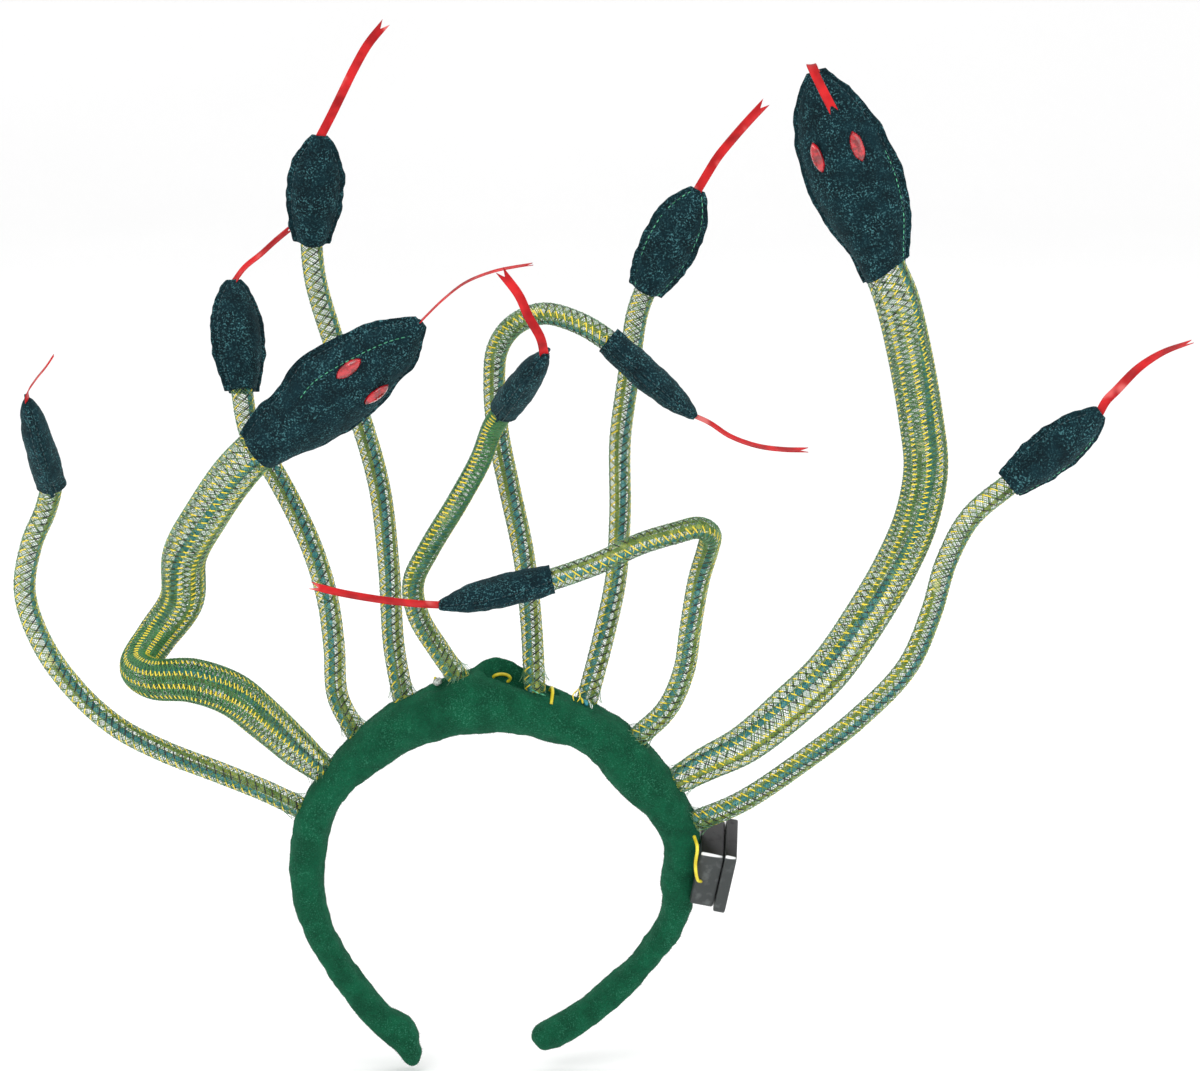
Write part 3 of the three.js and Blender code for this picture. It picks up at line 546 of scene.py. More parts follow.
def fuzz_tree() -> Tree:
    """A tree that grows short fibres on a surface."""
    tree = Tree(
        "short_fibres",
        {
            "Density": ("Float", 1e6),
            "Length": ("Float", 0.001),
            "Thickness": ("Float", 0.00005),
            "Lean": ("Float", 0.8),
            "Seed": ("Int", 0),
            "Material": ("Material", None),
        },
    )
    given = tree.given
    spread = tree.node(
        "GeometryNodeDistributePointsOnFaces",
        {"Mesh": given["Geometry"], "Density": given["Density"], "Seed": given["Seed"]},
    )
    low, high = (-1, -1, -1), (1, 1, 1)
    chance = tree.node(
        "FunctionNodeRandomValue", {0: low, 1: high, 8: given["Seed"]}, data_type="FLOAT_VECTOR"
    )
    leaning = tree.scaled(chance.outputs[0], given["Lean"])
    direction = tree.vector("ADD", spread.outputs["Normal"], leaning)
    rotation = tree.node("FunctionNodeAlignRotationToVector", {"Vector": direction}, axis="Z").outputs[0]
    fibre = tree.node(
        "GeometryNodeMeshCone",
        {"Vertices": 3, "Radius Top": 0.0, "Radius Bottom": given["Thickness"], "Depth": given["Length"]},
        fill_type="NONE",
    ).outputs[0]
    height = tree.node("FunctionNodeRandomValue", {2: 0.4, 3: 1.0}, data_type="FLOAT")
    grown = tree.node("ShaderNodeCombineXYZ", {"X": 1.0, "Y": 1.0, "Z": height.outputs[1]}).outputs[0]
    fibres = tree.node(
        "GeometryNodeInstanceOnPoints",
        {"Points": spread.outputs["Points"], "Instance": fibre, "Rotation": rotation, "Scale": grown},
    ).outputs[0]
    tree.close(fibres, given["Material"])
    return tree


def stitch_tree() -> Tree:
    """A tree that lays stitches along a line which carries the surface's direction out."""
    tree = Tree(
        "stitch_row",
        {
            "Spacing": ("Float", 0.002),
            "Length": ("Float", 0.0014),
            "Thickness": ("Float", 0.0003),
            "Material": ("Material", None),
        },
    )
    given = tree.given
    line = tree.node("GeometryNodeMeshToCurve", {"Mesh": given["Geometry"]}).outputs[0]
    spaced = tree.node(
        "GeometryNodeResampleCurve", {"Curve": line, "Length": given["Spacing"]}, mode="LENGTH"
    ).outputs[0]
    ahead = tree.node("GeometryNodeInputTangent").outputs[0]
    rotation = tree.node(
        "FunctionNodeAxesToRotation",
        {"Primary Axis": ahead, "Secondary Axis": tree.stored("out", "FLOAT_VECTOR")},
        primary_axis="Z",
        secondary_axis="X",
    ).outputs[0]
    bead = tree.node("GeometryNodeMeshUVSphere", {"Segments": 6, "Rings": 5, "Radius": 0.5}).outputs[0]
    shape = tree.node(
        "ShaderNodeCombineXYZ", {"X": given["Thickness"], "Y": given["Thickness"], "Z": given["Length"]}
    ).outputs[0]
    stitches = tree.node(
        "GeometryNodeInstanceOnPoints",
        {"Points": spaced, "Instance": bead, "Rotation": rotation, "Scale": shape},
    ).outputs[0]
    tree.close(stitches, given["Material"])
    return tree


def guide(name: str, points: Array, values: dict[str, Array]) -> Piece:
    """A bare line of edges that carries values for a tree to read.

    Args:
        name: The line's name.
        points: Its points, in millimetres.
        values: Numbers or vectors for each point, by attribute name.

    Returns:
        The line, which isn't part of any collection.
    """
    mesh = bpy.data.meshes.new(name)
    mesh.from_pydata([tuple(point) for point in points * MM], [(i, i + 1) for i in range(len(points) - 1)], [])
    for title, rows in values.items():
        rows = np.asarray(rows, float)
        vectors = rows.ndim == 2
        layer = mesh.attributes.new(title, "FLOAT_VECTOR" if vectors else "FLOAT", "POINT")
        layer.data.foreach_set("vector" if vectors else "value", rows.ravel())
    return bpy.data.objects.new(name, mesh)


# Finishes


def tint(red: int, green: int, blue: int) -> Colour:
    """A colour of a screen as the renderer's own light values."""
    return tuple(
        value / 12.92 if value <= 0.04045 else ((value + 0.055) / 1.055) ** 2.4
        for value in (red / 255, green / 255, blue / 255)
    )


def shader_group(
    name: str, inputs: dict[str, tuple[str, float]], outputs: dict[str, str]
) -> tuple[Nodes, Node, Node]:
    """An empty shader group with its sockets.

    Args:
        name: The group's name.
        inputs: The type and the first value of each input. A vector's first value isn't used.
        outputs: The type of each output.

    Returns:
        Help with its nodes, its input node and its output node.
    """
    tree = bpy.data.node_groups.new(name, "ShaderNodeTree")
    for title, (kind, first) in inputs.items():
        socket = tree.interface.new_socket(title, in_out="INPUT", socket_type=f"NodeSocket{kind}")
        if kind == "Float":
            socket.default_value = first
    for title, kind in outputs.items():
        tree.interface.new_socket(title, in_out="OUTPUT", socket_type=f"NodeSocket{kind}")
    nodes = Nodes(tree)
    return nodes, nodes.node("NodeGroupInput"), nodes.node("NodeGroupOutput")


def fibre_group() -> Group:
    """Matted fibres: a cloudy shade and a fine relief."""
    inputs = {"Place": ("Vector", 0.0), "Cloud scale": ("Float", 100.0), "Fibre scale": ("Float", 2000.0)}
    nodes, given, result = shader_group("matted_fibres", inputs, {"Shade": "Float", "Height": "Float"})
    place = given.outputs["Place"]
    bent = nodes.node("ShaderNodeTexNoise", {"Vector": place, "Scale": given.outputs["Cloud scale"], "Detail": 3.0})
    cloud = nodes.ramp(bent.outputs[0], 0.3, 0.72)
    fibre = nodes.node(
        "ShaderNodeTexNoise",
        {"Vector": place, "Scale": given.outputs["Fibre scale"], "Detail": 4.0, "Distortion": 1.2},
    ).outputs[0]
    shade = nodes.math("MULTIPLY_ADD", nodes.ramp(fibre, 0.3, 0.7), 0.45, nodes.math("MULTIPLY", cloud, 0.55))
    nodes.tree.links.new(shade, result.inputs["Shade"])
    nodes.tree.links.new(fibre, result.inputs["Height"])
    return nodes.tree


def fleck_and_glint_group() -> Group:
    """Fine bright flecks that gather in soft patches: real lighter fibres on the felt, and painted sheen and glints
    on the velvet and the film.
    """
    inputs = {
        "Place": ("Vector", 0.0),
        "Scale": ("Float", 2000.0),
        "Patch scale": ("Float", 150.0),
        "Threshold": ("Float", 0.55),
    }
    nodes, given, result = shader_group("flecks_and_glints", inputs, {"Mask": "Float"})
    place, low = given.outputs["Place"], given.outputs["Threshold"]
    fine = nodes.noise(place, given.outputs["Scale"], 3, 0.6)
    high = nodes.math("ADD", low, 0.13)
    lit = nodes.node("ShaderNodeMapRange", {"Value": fine, "From Min": low, "From Max": high}).outputs[0]
    patch = nodes.ramp(nodes.noise(place, given.outputs["Patch scale"], 3), 0.36, 0.66)
    mask = nodes.math("MULTIPLY", lit, nodes.math("MULTIPLY_ADD", patch, 0.8, 0.2))
    nodes.tree.links.new(mask, result.inputs["Mask"])
    return nodes.tree


class Surface(Nodes):
    """A material built round one Principled shader."""

    def __init__(self, name: str, **plain: object) -> None:
        """Starts a material.

        Args:
            name: The material's name.
            plain: Plain values for the shader's sockets, with _ for each space in a socket's name.
        """
        self.material = bpy.data.materials.new(name)
        self.material.use_nodes = True
        super().__init__(self.material.node_tree)
        self.shader = self.tree.nodes["Principled BSDF"]
        for title, value in plain.items():
            self.shader.inputs[title.replace("_", " ")].default_value = value
        self.place = self.node("ShaderNodeTexCoord").outputs["Object"]

    def feed(self, title: str, value: Socket) -> None:
        """Links a changing value to one of the shader's sockets."""
        self.tree.links.new(value, self.shader.inputs[title])

    def group(self, tree: Group, **values: object) -> Node:
        """Places a shared group, fed with Object coordinates and its own values."""
        made = self.node("ShaderNodeGroup", node_tree=tree)
        for title, value in values.items():
            made.inputs[title.replace("_", " ")].default_value = value
        self.tree.links.new(self.place, made.inputs["Place"])
        return made

    def bump(self, height: Socket, strength: float, distance: float) -> None:
        """Adds relief from a height."""
        inputs = {"Height": height, "Strength": strength, "Distance": distance * MM}
        self.feed("Normal", self.node("ShaderNodeBump", inputs).outputs[0])


@dataclass(frozen=True)
class FeltFinish:
    """Matted wool felt."""

    dark: Colour = tint(5, 58, 38)
    middle: Colour = tint(14, 92, 62)
    light: Colour = tint(70, 150, 118)

    def material(self, shared: dict[str, Group]) -> Material:
        """The felt of the band."""
        felt = Surface("green_felt", Roughness=0.95, Sheen_Weight=0.25, Sheen_Roughness=0.6)
        felt.shader.inputs["Sheen Tint"].default_value = (*self.light, 1)
        felt.shader.inputs["Specular IOR Level"].default_value = 0.15
        fibres = felt.group(shared["fibres"], Cloud_scale=150, Fibre_scale=1500)
        flecks = felt.group(shared["flecks"], Scale=1900, Patch_scale=130, Threshold=0.54)
        base = felt.mix(fibres.outputs["Shade"], self.dark, self.middle)
        share = felt.math("MULTIPLY", flecks.outputs["Mask"], 0.55)
        felt.feed("Base Color", felt.mix(share, base, self.light))
        felt.bump(fibres.outputs["Height"], 1.0, 0.6)
        return felt.material


@dataclass(frozen=True)
class VelvetFinish:
    """Crushed velvet with bright flecks of painted sheen."""

    dark: Colour = tint(5, 20, 26)
    middle: Colour = tint(13, 46, 54)
    # the flecks' colour is painted sheen, and it also tints the shader's sheen
    sheen_fleck: Colour = tint(92, 152, 158)

    def material(self, shared: dict[str, Group]) -> Material:
        """The velvet of the heads."""
        velvet = Surface("teal_velvet", Roughness=0.8, Sheen_Weight=0.15, Sheen_Roughness=0.35)
        velvet.shader.inputs["Sheen Tint"].default_value = (*self.sheen_fleck, 1)
        velvet.shader.inputs["Specular IOR Level"].default_value = 0.12
        pile = velvet.group(shared["fibres"], Cloud_scale=190, Fibre_scale=1700)
        flecks = velvet.group(shared["flecks"], Scale=1500, Patch_scale=160, Threshold=0.53)
        base = velvet.mix(pile.outputs["Shade"], self.dark, self.middle)
        # painted sheen: bright flecks in the colour stand in for light caught by the pile
        share = velvet.math("MULTIPLY", flecks.outputs["Mask"], 0.7)
        velvet.feed("Base Color", velvet.mix(share, base, self.sheen_fleck))
        velvet.bump(pile.outputs["Height"], 0.8, 0.5)
        return velvet.material


@dataclass(frozen=True)
class TwoToneFinish:
    """A finish of two tones in soft clouds, over a fine relief."""

    name: str
    dark: Colour
    light: Colour
    # the clouds' scale, and where their tones part
    clouds: tuple[float, float, float]
    # the relief's scale, strength and depth in millimetres
    relief: tuple[float, float, float] | None
    plain: tuple[tuple[str, float], ...]
    glow: Colour | None = None

    def material(self) -> Material:
        """Its material."""
        made = Surface(self.name, **dict(self.plain))
        scale, low, high = self.clouds
        cloud = made.ramp(made.noise(made.place, scale), low, high)
        made.feed("Base Color", made.mix(cloud, self.dark, self.light))
        if self.relief:
            fine, strength, depth = self.relief
            made.bump(made.noise(made.place, fine), strength, depth)
        if self.glow:
            made.shader.inputs["Emission Color"].default_value = (*self.glow, 1)
        return made.material


def thread_finish(name: str, dark: Colour, light: Colour) -> TwoToneFinish:
    """Sewing thread in a colour."""
    plain = (("Roughness", 0.55), ("Sheen_Weight", 0.2))
    return TwoToneFinish(name, dark, light, (700, 0.35, 0.65), (4000, 0.4, 0.05), plain)


def wire_finish(name: str, dark: Colour, light: Colour) -> TwoToneFinish:
    """A smooth plastic skin in a colour, for wires and the lime strip."""
    plain = (("Roughness", 0.4), ("Coat_Weight", 0.2))
    return TwoToneFinish(name, dark, light, (220, 0.35, 0.7), (1500, 0.15, 0.05), plain)


LAMP_TONE = tint(250, 240, 150)
LAMP_FINISH = TwoToneFinish(
    "clear_lamp", LAMP_TONE, tint(255, 252, 220), (700, 0.3, 0.7), None,
    (("Roughness", 0.1), ("Coat_Weight", 1.0), ("Emission_Strength", 0.25)), LAMP_TONE,
)
EYE_FINISH = TwoToneFinish(
    "red_eye", tint(120, 4, 14), tint(196, 16, 32), (500, 0.35, 0.65), (1400, 0.25, 0.08),
    (("Roughness", 0.12), ("Coat_Weight", 1.0), ("Coat_Roughness", 0.04)),
)


@dataclass(frozen=True)
class FilamentFinish:
    """The fine filaments of the net: pale where they lie open, deep green where they are pushed together."""

    open_dark: Colour = tint(58, 122, 74)
    open_light: Colour = tint(142, 188, 150)
    tight_dark: Colour = tint(38, 98, 56)
    tight_light: Colour = tint(86, 146, 98)

    def material(self) -> Material:
        """The filaments' material."""
        fine = Surface("net_filament", Roughness=0.3)
        fine.shader.inputs["Specular IOR Level"].default_value = 0.6
        mottle = fine.ramp(fine.noise(fine.place, 420), 0.3, 0.7)
        tight = fine.node("ShaderNodeAttribute", attribute_name="tight").outputs["Fac"]
        loose = fine.mix(mottle, self.open_dark, self.open_light)
        pushed = fine.mix(mottle, self.tight_dark, self.tight_light)
        fine.feed("Base Color", fine.mix(tight, loose, pushed))
        return fine.material


@dataclass(frozen=True)
class DashFinish:
    """A bold strand of the net, with dark and bright dashes in rows along the tube."""

    name: str
    rows: int
    dark_share: float
    bright_share: float
    dark: Colour = tint(20, 24, 12)
    bright: Colour = tint(250, 222, 48)
    between: Colour = tint(112, 132, 34)
    between_tight: Colour = tint(62, 128, 62)

    def material(self) -> Material:
        """The strand's material."""
        strand = Surface(self.name, Roughness=0.3)
        strand.shader.inputs["Specular IOR Level"].default_value = 0.6
        around = strand.node("ShaderNodeAttribute", attribute_name="around").outputs["Fac"]
        tight = strand.node("ShaderNodeAttribute", attribute_name="tight").outputs["Fac"]
        phase = strand.math("FRACT", strand.math("MULTIPLY", around, float(self.rows)))
        wobble = strand.math("MULTIPLY_ADD", strand.noise(strand.place, 170), 0.3, -0.15)
        bright = strand.math("LESS_THAN", phase, strand.math("ADD", wobble, self.bright_share))
        dark_end = strand.math("ADD", wobble, 0.5 + self.dark_share)
        dark = strand.math(
            "MULTIPLY", strand.math("GREATER_THAN", phase, 0.5), strand.math("LESS_THAN", phase, dark_end)
        )
        dark = strand.math("MULTIPLY", dark, strand.math("MULTIPLY_ADD", tight, -0.8, 1.0, clamp=True))
        base = strand.mix(tight, self.between, self.between_tight)
        strand.feed("Base Color", strand.mix(bright, strand.mix(dark, base, self.dark), self.bright))
        return strand.material


@dataclass(frozen=True)
class FilmFinish:
    """The crinkled teal film strip inside a tube, with painted glints as bright flecks in its colour."""

    base: Colour = tint(38, 130, 146)
    bright: Colour = tint(132, 204, 216)

    def material(self, shared: dict[str, Group]) -> Material:
        """The film's material."""
        film = Surface("teal_film", Roughness=0.28, Metallic=0.35)
        crinkle = film.noise(film.place, 900, 3)
        # painted glints: the film's sparkle is bright flecks in its colour
        flecks = film.group(shared["flecks"], Scale=1100, Patch_scale=300, Threshold=0.5)
        film.feed("Base Color", film.mix(flecks.outputs["Mask"], self.base, self.bright))
        film.bump(crinkle, 0.8, 0.2)
        return film.material


@dataclass(frozen=True)
class SatinFinish:
    """Narrow satin ribbon, with painted sheen in pale patches of its colour."""

    deep: Colour = tint(150, 6, 14)
    bright: Colour = tint(206, 30, 34)
    # sheen is the colour of the painted sheen
    sheen: Colour = tint(236, 132, 128)

    def material(self) -> Material:
        """The ribbon's material."""
        satin = Surface("red_satin", Roughness=0.4, Anisotropic=0.5)
        satin.shader.inputs["Specular IOR Level"].default_value = 0.2
        thread = satin.noise(satin.place, 2600, 2)
        cloud = satin.ramp(satin.noise(satin.place, 130), 0.3, 0.7)
        # painted sheen: pale pink patches stand in for the light on the satin
        sheen_patches = satin.ramp(satin.noise(satin.place, 75), 0.56, 0.68)
        red = satin.mix(cloud, self.deep, self.bright)
        satin.feed("Base Color", satin.mix(satin.math("MULTIPLY", sheen_patches, 0.6), red, self.sheen))
        satin.bump(thread, 0.35, 0.06)
        return satin.material


@dataclass(frozen=True)
class PlasticFinish:
    """Moulded black plastic with painted light: painted shade makes it black on top and leaves its upright faces
    greyer, and a painted highlight runs bright along the front edge.
    """

    # top and face are one plastic in painted shade and painted light: black where faces point up, grey where they
    # stand upright
    top: Colour = tint(16, 16, 18)
    face: Colour = tint(58, 62, 62)
    scuff: Colour = tint(84, 88, 88)
    # edge is the colour of the painted highlight along the top front edge
    edge: Colour = tint(236, 238, 238)

    def material(self) -> Material:
        """The battery box's material."""
        plastic = Surface("black_plastic")
        plastic.shader.inputs["Specular IOR Level"].default_value = 0.3
        way = plastic.node("ShaderNodeSeparateXYZ", {0: plastic.node("ShaderNodeTexCoord").outputs["Normal"]})
        # painted shade: faces that point up are painted black
        top_shade_mask = plastic.ramp(way.outputs[2], 0.6, 0.9)
        # painted highlight: the rounded faces between the top and the front are painted bright
        highlight_facing = plastic.math("MULTIPLY", way.outputs[2], plastic.math("MULTIPLY", way.outputs[1], -1.0))
        edge = plastic.ramp(highlight_facing, 0.36, 0.46)
        marks = plastic.ramp(plastic.noise(plastic.place, 300, 4), 0.5, 0.75)
        face = plastic.mix(marks, self.face, self.scuff)
        body = plastic.mix(top_shade_mask, face, self.top)
        plastic.feed("Base Color", plastic.mix(edge, body, self.edge))
        plastic.feed("Roughness", plastic.math("MULTIPLY_ADD", marks, 0.2, 0.35))
        plastic.bump(plastic.noise(plastic.place, 2400, 3), 0.3, 0.06)
        return plastic.material


@dataclass(frozen=True)
class GlueFinish:
    """A clouded dab of glue."""

    dark: Colour = tint(104, 112, 108)
    light: Colour = tint(196, 204, 198)

    def material(self) -> Material:
        """The glue's material."""
        glue = Surface("clouded_glue", Roughness=0.25, Coat_Weight=0.5)
        cloud = glue.ramp(glue.noise(glue.place, 1200, 3), 0.35, 0.65)
        glue.feed("Base Color", glue.mix(cloud, self.dark, self.light))
        glue.bump(cloud, 0.5, 0.2)
        return glue.material


@dataclass(frozen=True)
class Materials:
    """Every finish, made once."""

    felt: Material
    velvet: Material
    filament: Material
    first_bold: dict[Size, Material]
    second_bold: dict[Size, Material]
    film: Material
    strip: Material
    lead: Material
    wire: Material
    lamp: Material
    ribbon: Material
    eye: Material
    plastic: Material
    thread: Material
    dark_thread: Material
    pale_thread: Material
    glue: Material


def make_materials() -> Materials:
    """Builds the shared shader groups and every material."""
    shared = {"fibres": fibre_group(), "flecks": fleck_and_glint_group()}
    return Materials(
        felt=FeltFinish().material(shared),
        velvet=VelvetFinish().material(shared),
        filament=FilamentFinish().material(),
        first_bold={
            Size.SMALL: DashFinish("dashed_strand_small", 3, 0.34, 0.3).material(),
            Size.LARGE: DashFinish("dashed_strand_large", 10, 0.3, 0.36).material(),
        },
        second_bold={
            Size.SMALL: DashFinish("olive_strand_small", 3, 0.2, 0.12).material(),
            Size.LARGE: DashFinish("olive_strand_large", 10, 0.25, 0.2).material(),
        },
        film=FilmFinish().material(shared),
        strip=wire_finish("lime_strip", tint(112, 138, 26), tint(206, 204, 56)).material(),
        lead=wire_finish("lime_lead", tint(136, 156, 26), tint(196, 202, 52)).material(),
        wire=wire_finish("yellow_wire", tint(206, 186, 20), tint(240, 226, 60)).material(),
        lamp=LAMP_FINISH.material(),
        ribbon=SatinFinish().material(),
        eye=EYE_FINISH.material(),
        plastic=PlasticFinish().material(),
        thread=thread_finish("green_thread", tint(24, 120, 84), tint(96, 200, 152)).material(),
        dark_thread=thread_finish("dark_thread", tint(8, 34, 40), tint(34, 80, 88)).material(),
        pale_thread=thread_finish("pale_thread", tint(170, 196, 180), tint(236, 244, 236)).material(),
        glue=GlueFinish().material(),
    )


# Headband


@dataclass
class FeltBand:
    """The padded headband in its felt, with the open slit on the crown."""

    inner_radius: float = 60
    roll: float = 18
    depth: float = 25
    fullness: float = 0.8
    rings: int = 450
    sides: int = 76
    # how far before each end, in degrees, the tip begins to close, and its rings
    tip_turn: float = 4
    tip_rings: int = 14
    # turn, inner as a share of the inner radius, roll and depth as shares of theirs
    sections: tuple[tuple[float, float, float, float], ...] = (
        (-78, 0.990, 0.25, 0.22), (-75, 0.960, 0.54, 0.42), (-70, 0.950, 0.60, 0.50),
        (-56, 0.925, 0.57, 0.52), (-40, 0.930, 0.55, 0.54), (-25, 0.975, 0.53, 0.60),
        (-12, 1.020, 0.57, 0.68), (0, 1.000, 0.72, 0.76), (13, 1.035, 0.77, 0.84),
        (25, 0.990, 0.88, 0.92), (35, 0.930, 1.04, 0.96), (46, 0.930, 1.01, 0.96),
        (57, 0.955, 0.93, 0.98), (69, 0.925, 0.95, 1.00), (80, 0.920, 1.12, 1.00),
        (90, 0.920, 1.28, 1.00), (99, 0.920, 1.22, 1.00), (110, 0.930, 1.05, 0.98),
        (122, 0.955, 0.95, 0.95), (135, 0.970, 0.87, 0.90), (147, 1.025, 0.70, 0.84),
        (160, 1.040, 0.73, 0.80), (175, 1.035, 0.70, 0.72), (190, 1.035, 0.63, 0.64),
        (205, 1.025, 0.55, 0.56), (220, 1.020, 0.55, 0.52), (232, 1.040, 0.59, 0.50),
        (240, 1.045, 0.66, 0.53), (243.5, 1.080, 0.66, 0.52), (246.5, 1.140, 0.56, 0.42),
        (248, 1.200, 0.28, 0.22),
    )
    # between these turns the crown's slit and lip shape the felt
    crown_turns: tuple[float, float] = (50, 130)
    slit_turn: float = 81
    slit_back: float = 1.5
    slit_depth: float = 6.5
    slit_half: tuple[float, float] = (14, 5.4)
    slit_middle: tuple[float, float] = (9.5, -1.4)
    # the felt in front of the slit lies lower
    dip: float = 2.3
    dip_middle: tuple[float, float] = (6, -6)
    dip_half: tuple[float, float] = (11, 5)
    lip_rise: float = 3.1
    lip_middle: tuple[float, float] = (3.5, 5.2)
    lip_half: tuple[float, float] = (9, 2.6)
    # turn, forward, radius and depth of small hollows in the felt
    hollows: tuple[tuple[float, float, float, float], ...] = (
        (105, 0.30, 3.0, 2.2),
        (47.2, 0.91, 0.8, 1.2),
        (97.5, 0.05, 3.5, 0.9),
    )

    def at(self, turn: float) -> tuple[float, float, float]:
        """The inner radius, roll and depth at a turn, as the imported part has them."""
        turns, inner, roll, depth = zip(*self.sections)
        read = lambda values: float(np.interp(turn, turns, values))
        return self.inner_radius * read(inner), self.roll * read(roll), self.depth * read(depth)

    def centre(self) -> Array:
        """The middle of the band's circle."""
        return np.array([0, 0, -self.at(90)[0]])

    def place(self, turn: float, radius: float, back: float) -> Array:
        """A place by its turn round the band, its radius and how far back it is."""
        angle = math.radians(turn)
        return self.centre() + np.array([radius * math.cos(angle), back, radius * math.sin(angle)])

    def softened(self, value: float) -> float:
        """A sine or cosine made fuller, as a stuffed roll is."""
        return math.copysign(abs(value) ** self.fullness, value)

    def on(self, turn: float, forward: float, out: float) -> Array:
        """A place on the outer face, forward from the roll's middle and out from the surface."""
        inner, roll, depth = self.at(turn)
        sine = abs(forward) ** (1 / self.fullness)
        rise = self.softened(math.sqrt(1 - sine**2))
        return self.place(turn, inner + roll * (0.5 + 0.5 * rise) + out, -0.5 * depth * forward)

    def crown(self, across: float, back: float) -> float:
        """How much the slit and its back lip lower or raise the felt on the crown."""
        along = (across - self.slit_middle[0]) / self.slit_half[0]
        over = (back - self.slit_middle[1]) / self.slit_half[1]
        inside = max(0.0, 1 - along**2 - over**2)
        lip_along = (across - self.lip_middle[0]) / self.lip_half[0]
        lip_over = (back - self.lip_middle[1]) / self.lip_half[1]
        lip = math.exp(-(lip_along**4) - lip_over**2)
        dip_along = (across - self.dip_middle[0]) / self.dip_half[0]
        dip_over = (back - self.dip_middle[1]) / self.dip_half[1]
        dip = math.exp(-(dip_along**4) - dip_over**2)
        return self.lip_rise * lip - self.dip * dip - self.slit_depth * inside**0.35

    def skin(self) -> Piece:
        """The smooth stuffed roll with its slit and back lip."""
        turns, inner, roll, depth = (np.array(column, float) for column in zip(*self.sections))
        for column in (inner, roll, depth):
            column[0], column[-1] = column[1], column[-2]
        rounding = self.tip_turn * (1 - np.cos(np.linspace(0, math.pi / 2, self.tip_rings)))[:-1]
        middle = np.linspace(turns[0] + self.tip_turn, turns[-1] - self.tip_turn, self.rings)
        wanted = np.concatenate([turns[0] + rounding, middle, turns[-1] - rounding[::-1]])
        inners = self.inner_radius * smooth_table(wanted, turns, inner)
        rolls = self.roll * smooth_table(wanted, turns, roll)
        depths = self.depth * smooth_table(wanted, turns, depth)
        from_end = np.minimum(wanted - turns[0], turns[-1] - wanted) / self.tip_turn
        full = np.maximum(np.sqrt(1 - np.clip(1 - from_end, 0, 1) ** 2), 0.02)
        inners, rolls, depths = inners + rolls * (1 - full) / 2, rolls * full, depths * full
        rings = []
        for turn, base, tall, deep in zip(wanted, inners, rolls, depths):
            ring = []
            for side in range(self.sides):
                angle = TURN * side / self.sides
                rise, spread = self.softened(math.cos(angle)), self.softened(math.sin(angle))
                radius, back = base + tall * (0.5 + 0.5 * rise), 0.5 * deep * spread
                across = radius * math.cos(math.radians(turn))
                if rise > 0 and self.crown_turns[0] < turn < self.crown_turns[1]:
                    radius += self.crown(across, back)
                ring.append(self.place(turn, radius, back))
            rings.append(np.array(ring))
        return loft("headband_felt", rings)

    def hollow(self, felt: Piece, middle: Array, radius: float, depth: float) -> None:
        """Presses a small hollow into the felt."""
        centre = Vector(middle)

        def press(place: Vector) -> float:
            """How far the felt goes in there."""
            return -depth * math.exp(-(((place - centre).length / radius) ** 2))

        displaced(felt, press)

    def build(self, materials: Materials, trees: dict[str, Tree]) -> None:
        """Makes the felt roll and its short fibres."""
        felt = self.skin()

        def rough(place: Vector) -> float:
            """Lumps of the stuffing, and the felt's small creases."""
            return 0.6 * lumps(place, 9, 1) + 0.42 * lumps(place, 4, 2) + 0.2 * lumps(place, 1.9, 3)

        displaced(felt, rough)
        for turn, forward, radius, depth in self.hollows:
            self.hollow(felt, self.on(turn, forward, 0), radius, depth)
        keep(felt, materials.felt, ["headband"])
        fuzz = trees["fuzz"].grown(
            "headband_fibres",
            felt,
            {
                "Density": 1.1e6,
                "Length": 1.0 * MM,
                "Thickness": 0.035 * MM,
                "Lean": 1.1,
                "Seed": 4,
                "Material": materials.felt,
            },
        )
        keep(fuzz)


# Snakes


@dataclass(frozen=True)
class Kind:
    """What every snake of one size shares, in millimetres."""

    tube: float
    root_girth: float
    length: float
    width: float
    thickness: float
    # along, width and thickness, as shares of the head's own
    sections: tuple[tuple[float, float, float], ...]
    fine: int
    bold: int
    pitch: float
    steps_a_turn: int
    film: float


KINDS = {
    Size.SMALL: Kind(
        tube=8,
        root_girth=1,
        length=41,
        width=20.5,
        thickness=11,
        sections=(
            (0.00, 0.64, 0.96), (0.16, 0.84, 0.98), (0.34, 0.98, 1.00), (0.54, 1.00, 0.94),
            (0.74, 0.88, 0.78), (0.88, 0.64, 0.54), (0.97, 0.40, 0.32), (1.00, 0.27, 0.20),
        ),
        fine=18,
        bold=5,
        pitch=16,
        steps_a_turn=12,
        film=2.2,
    ),
    Size.LARGE: Kind(
        tube=16,
        root_girth=0.62,
        length=75,
        width=35,
        thickness=18,
        sections=(
            (0.00, 0.55, 1.05), (0.12, 0.70, 1.04), (0.24, 0.88, 1.03), (0.42, 1.00, 1.00),
            (0.60, 0.96, 0.92), (0.75, 0.82, 0.76), (0.88, 0.58, 0.52), (0.96, 0.32, 0.30),
            (1.00, 0.17, 0.16),
        ),
        fine=34,
        bold=9,
        pitch=28,
        steps_a_turn=18,
        film=2.8,
    ),
}


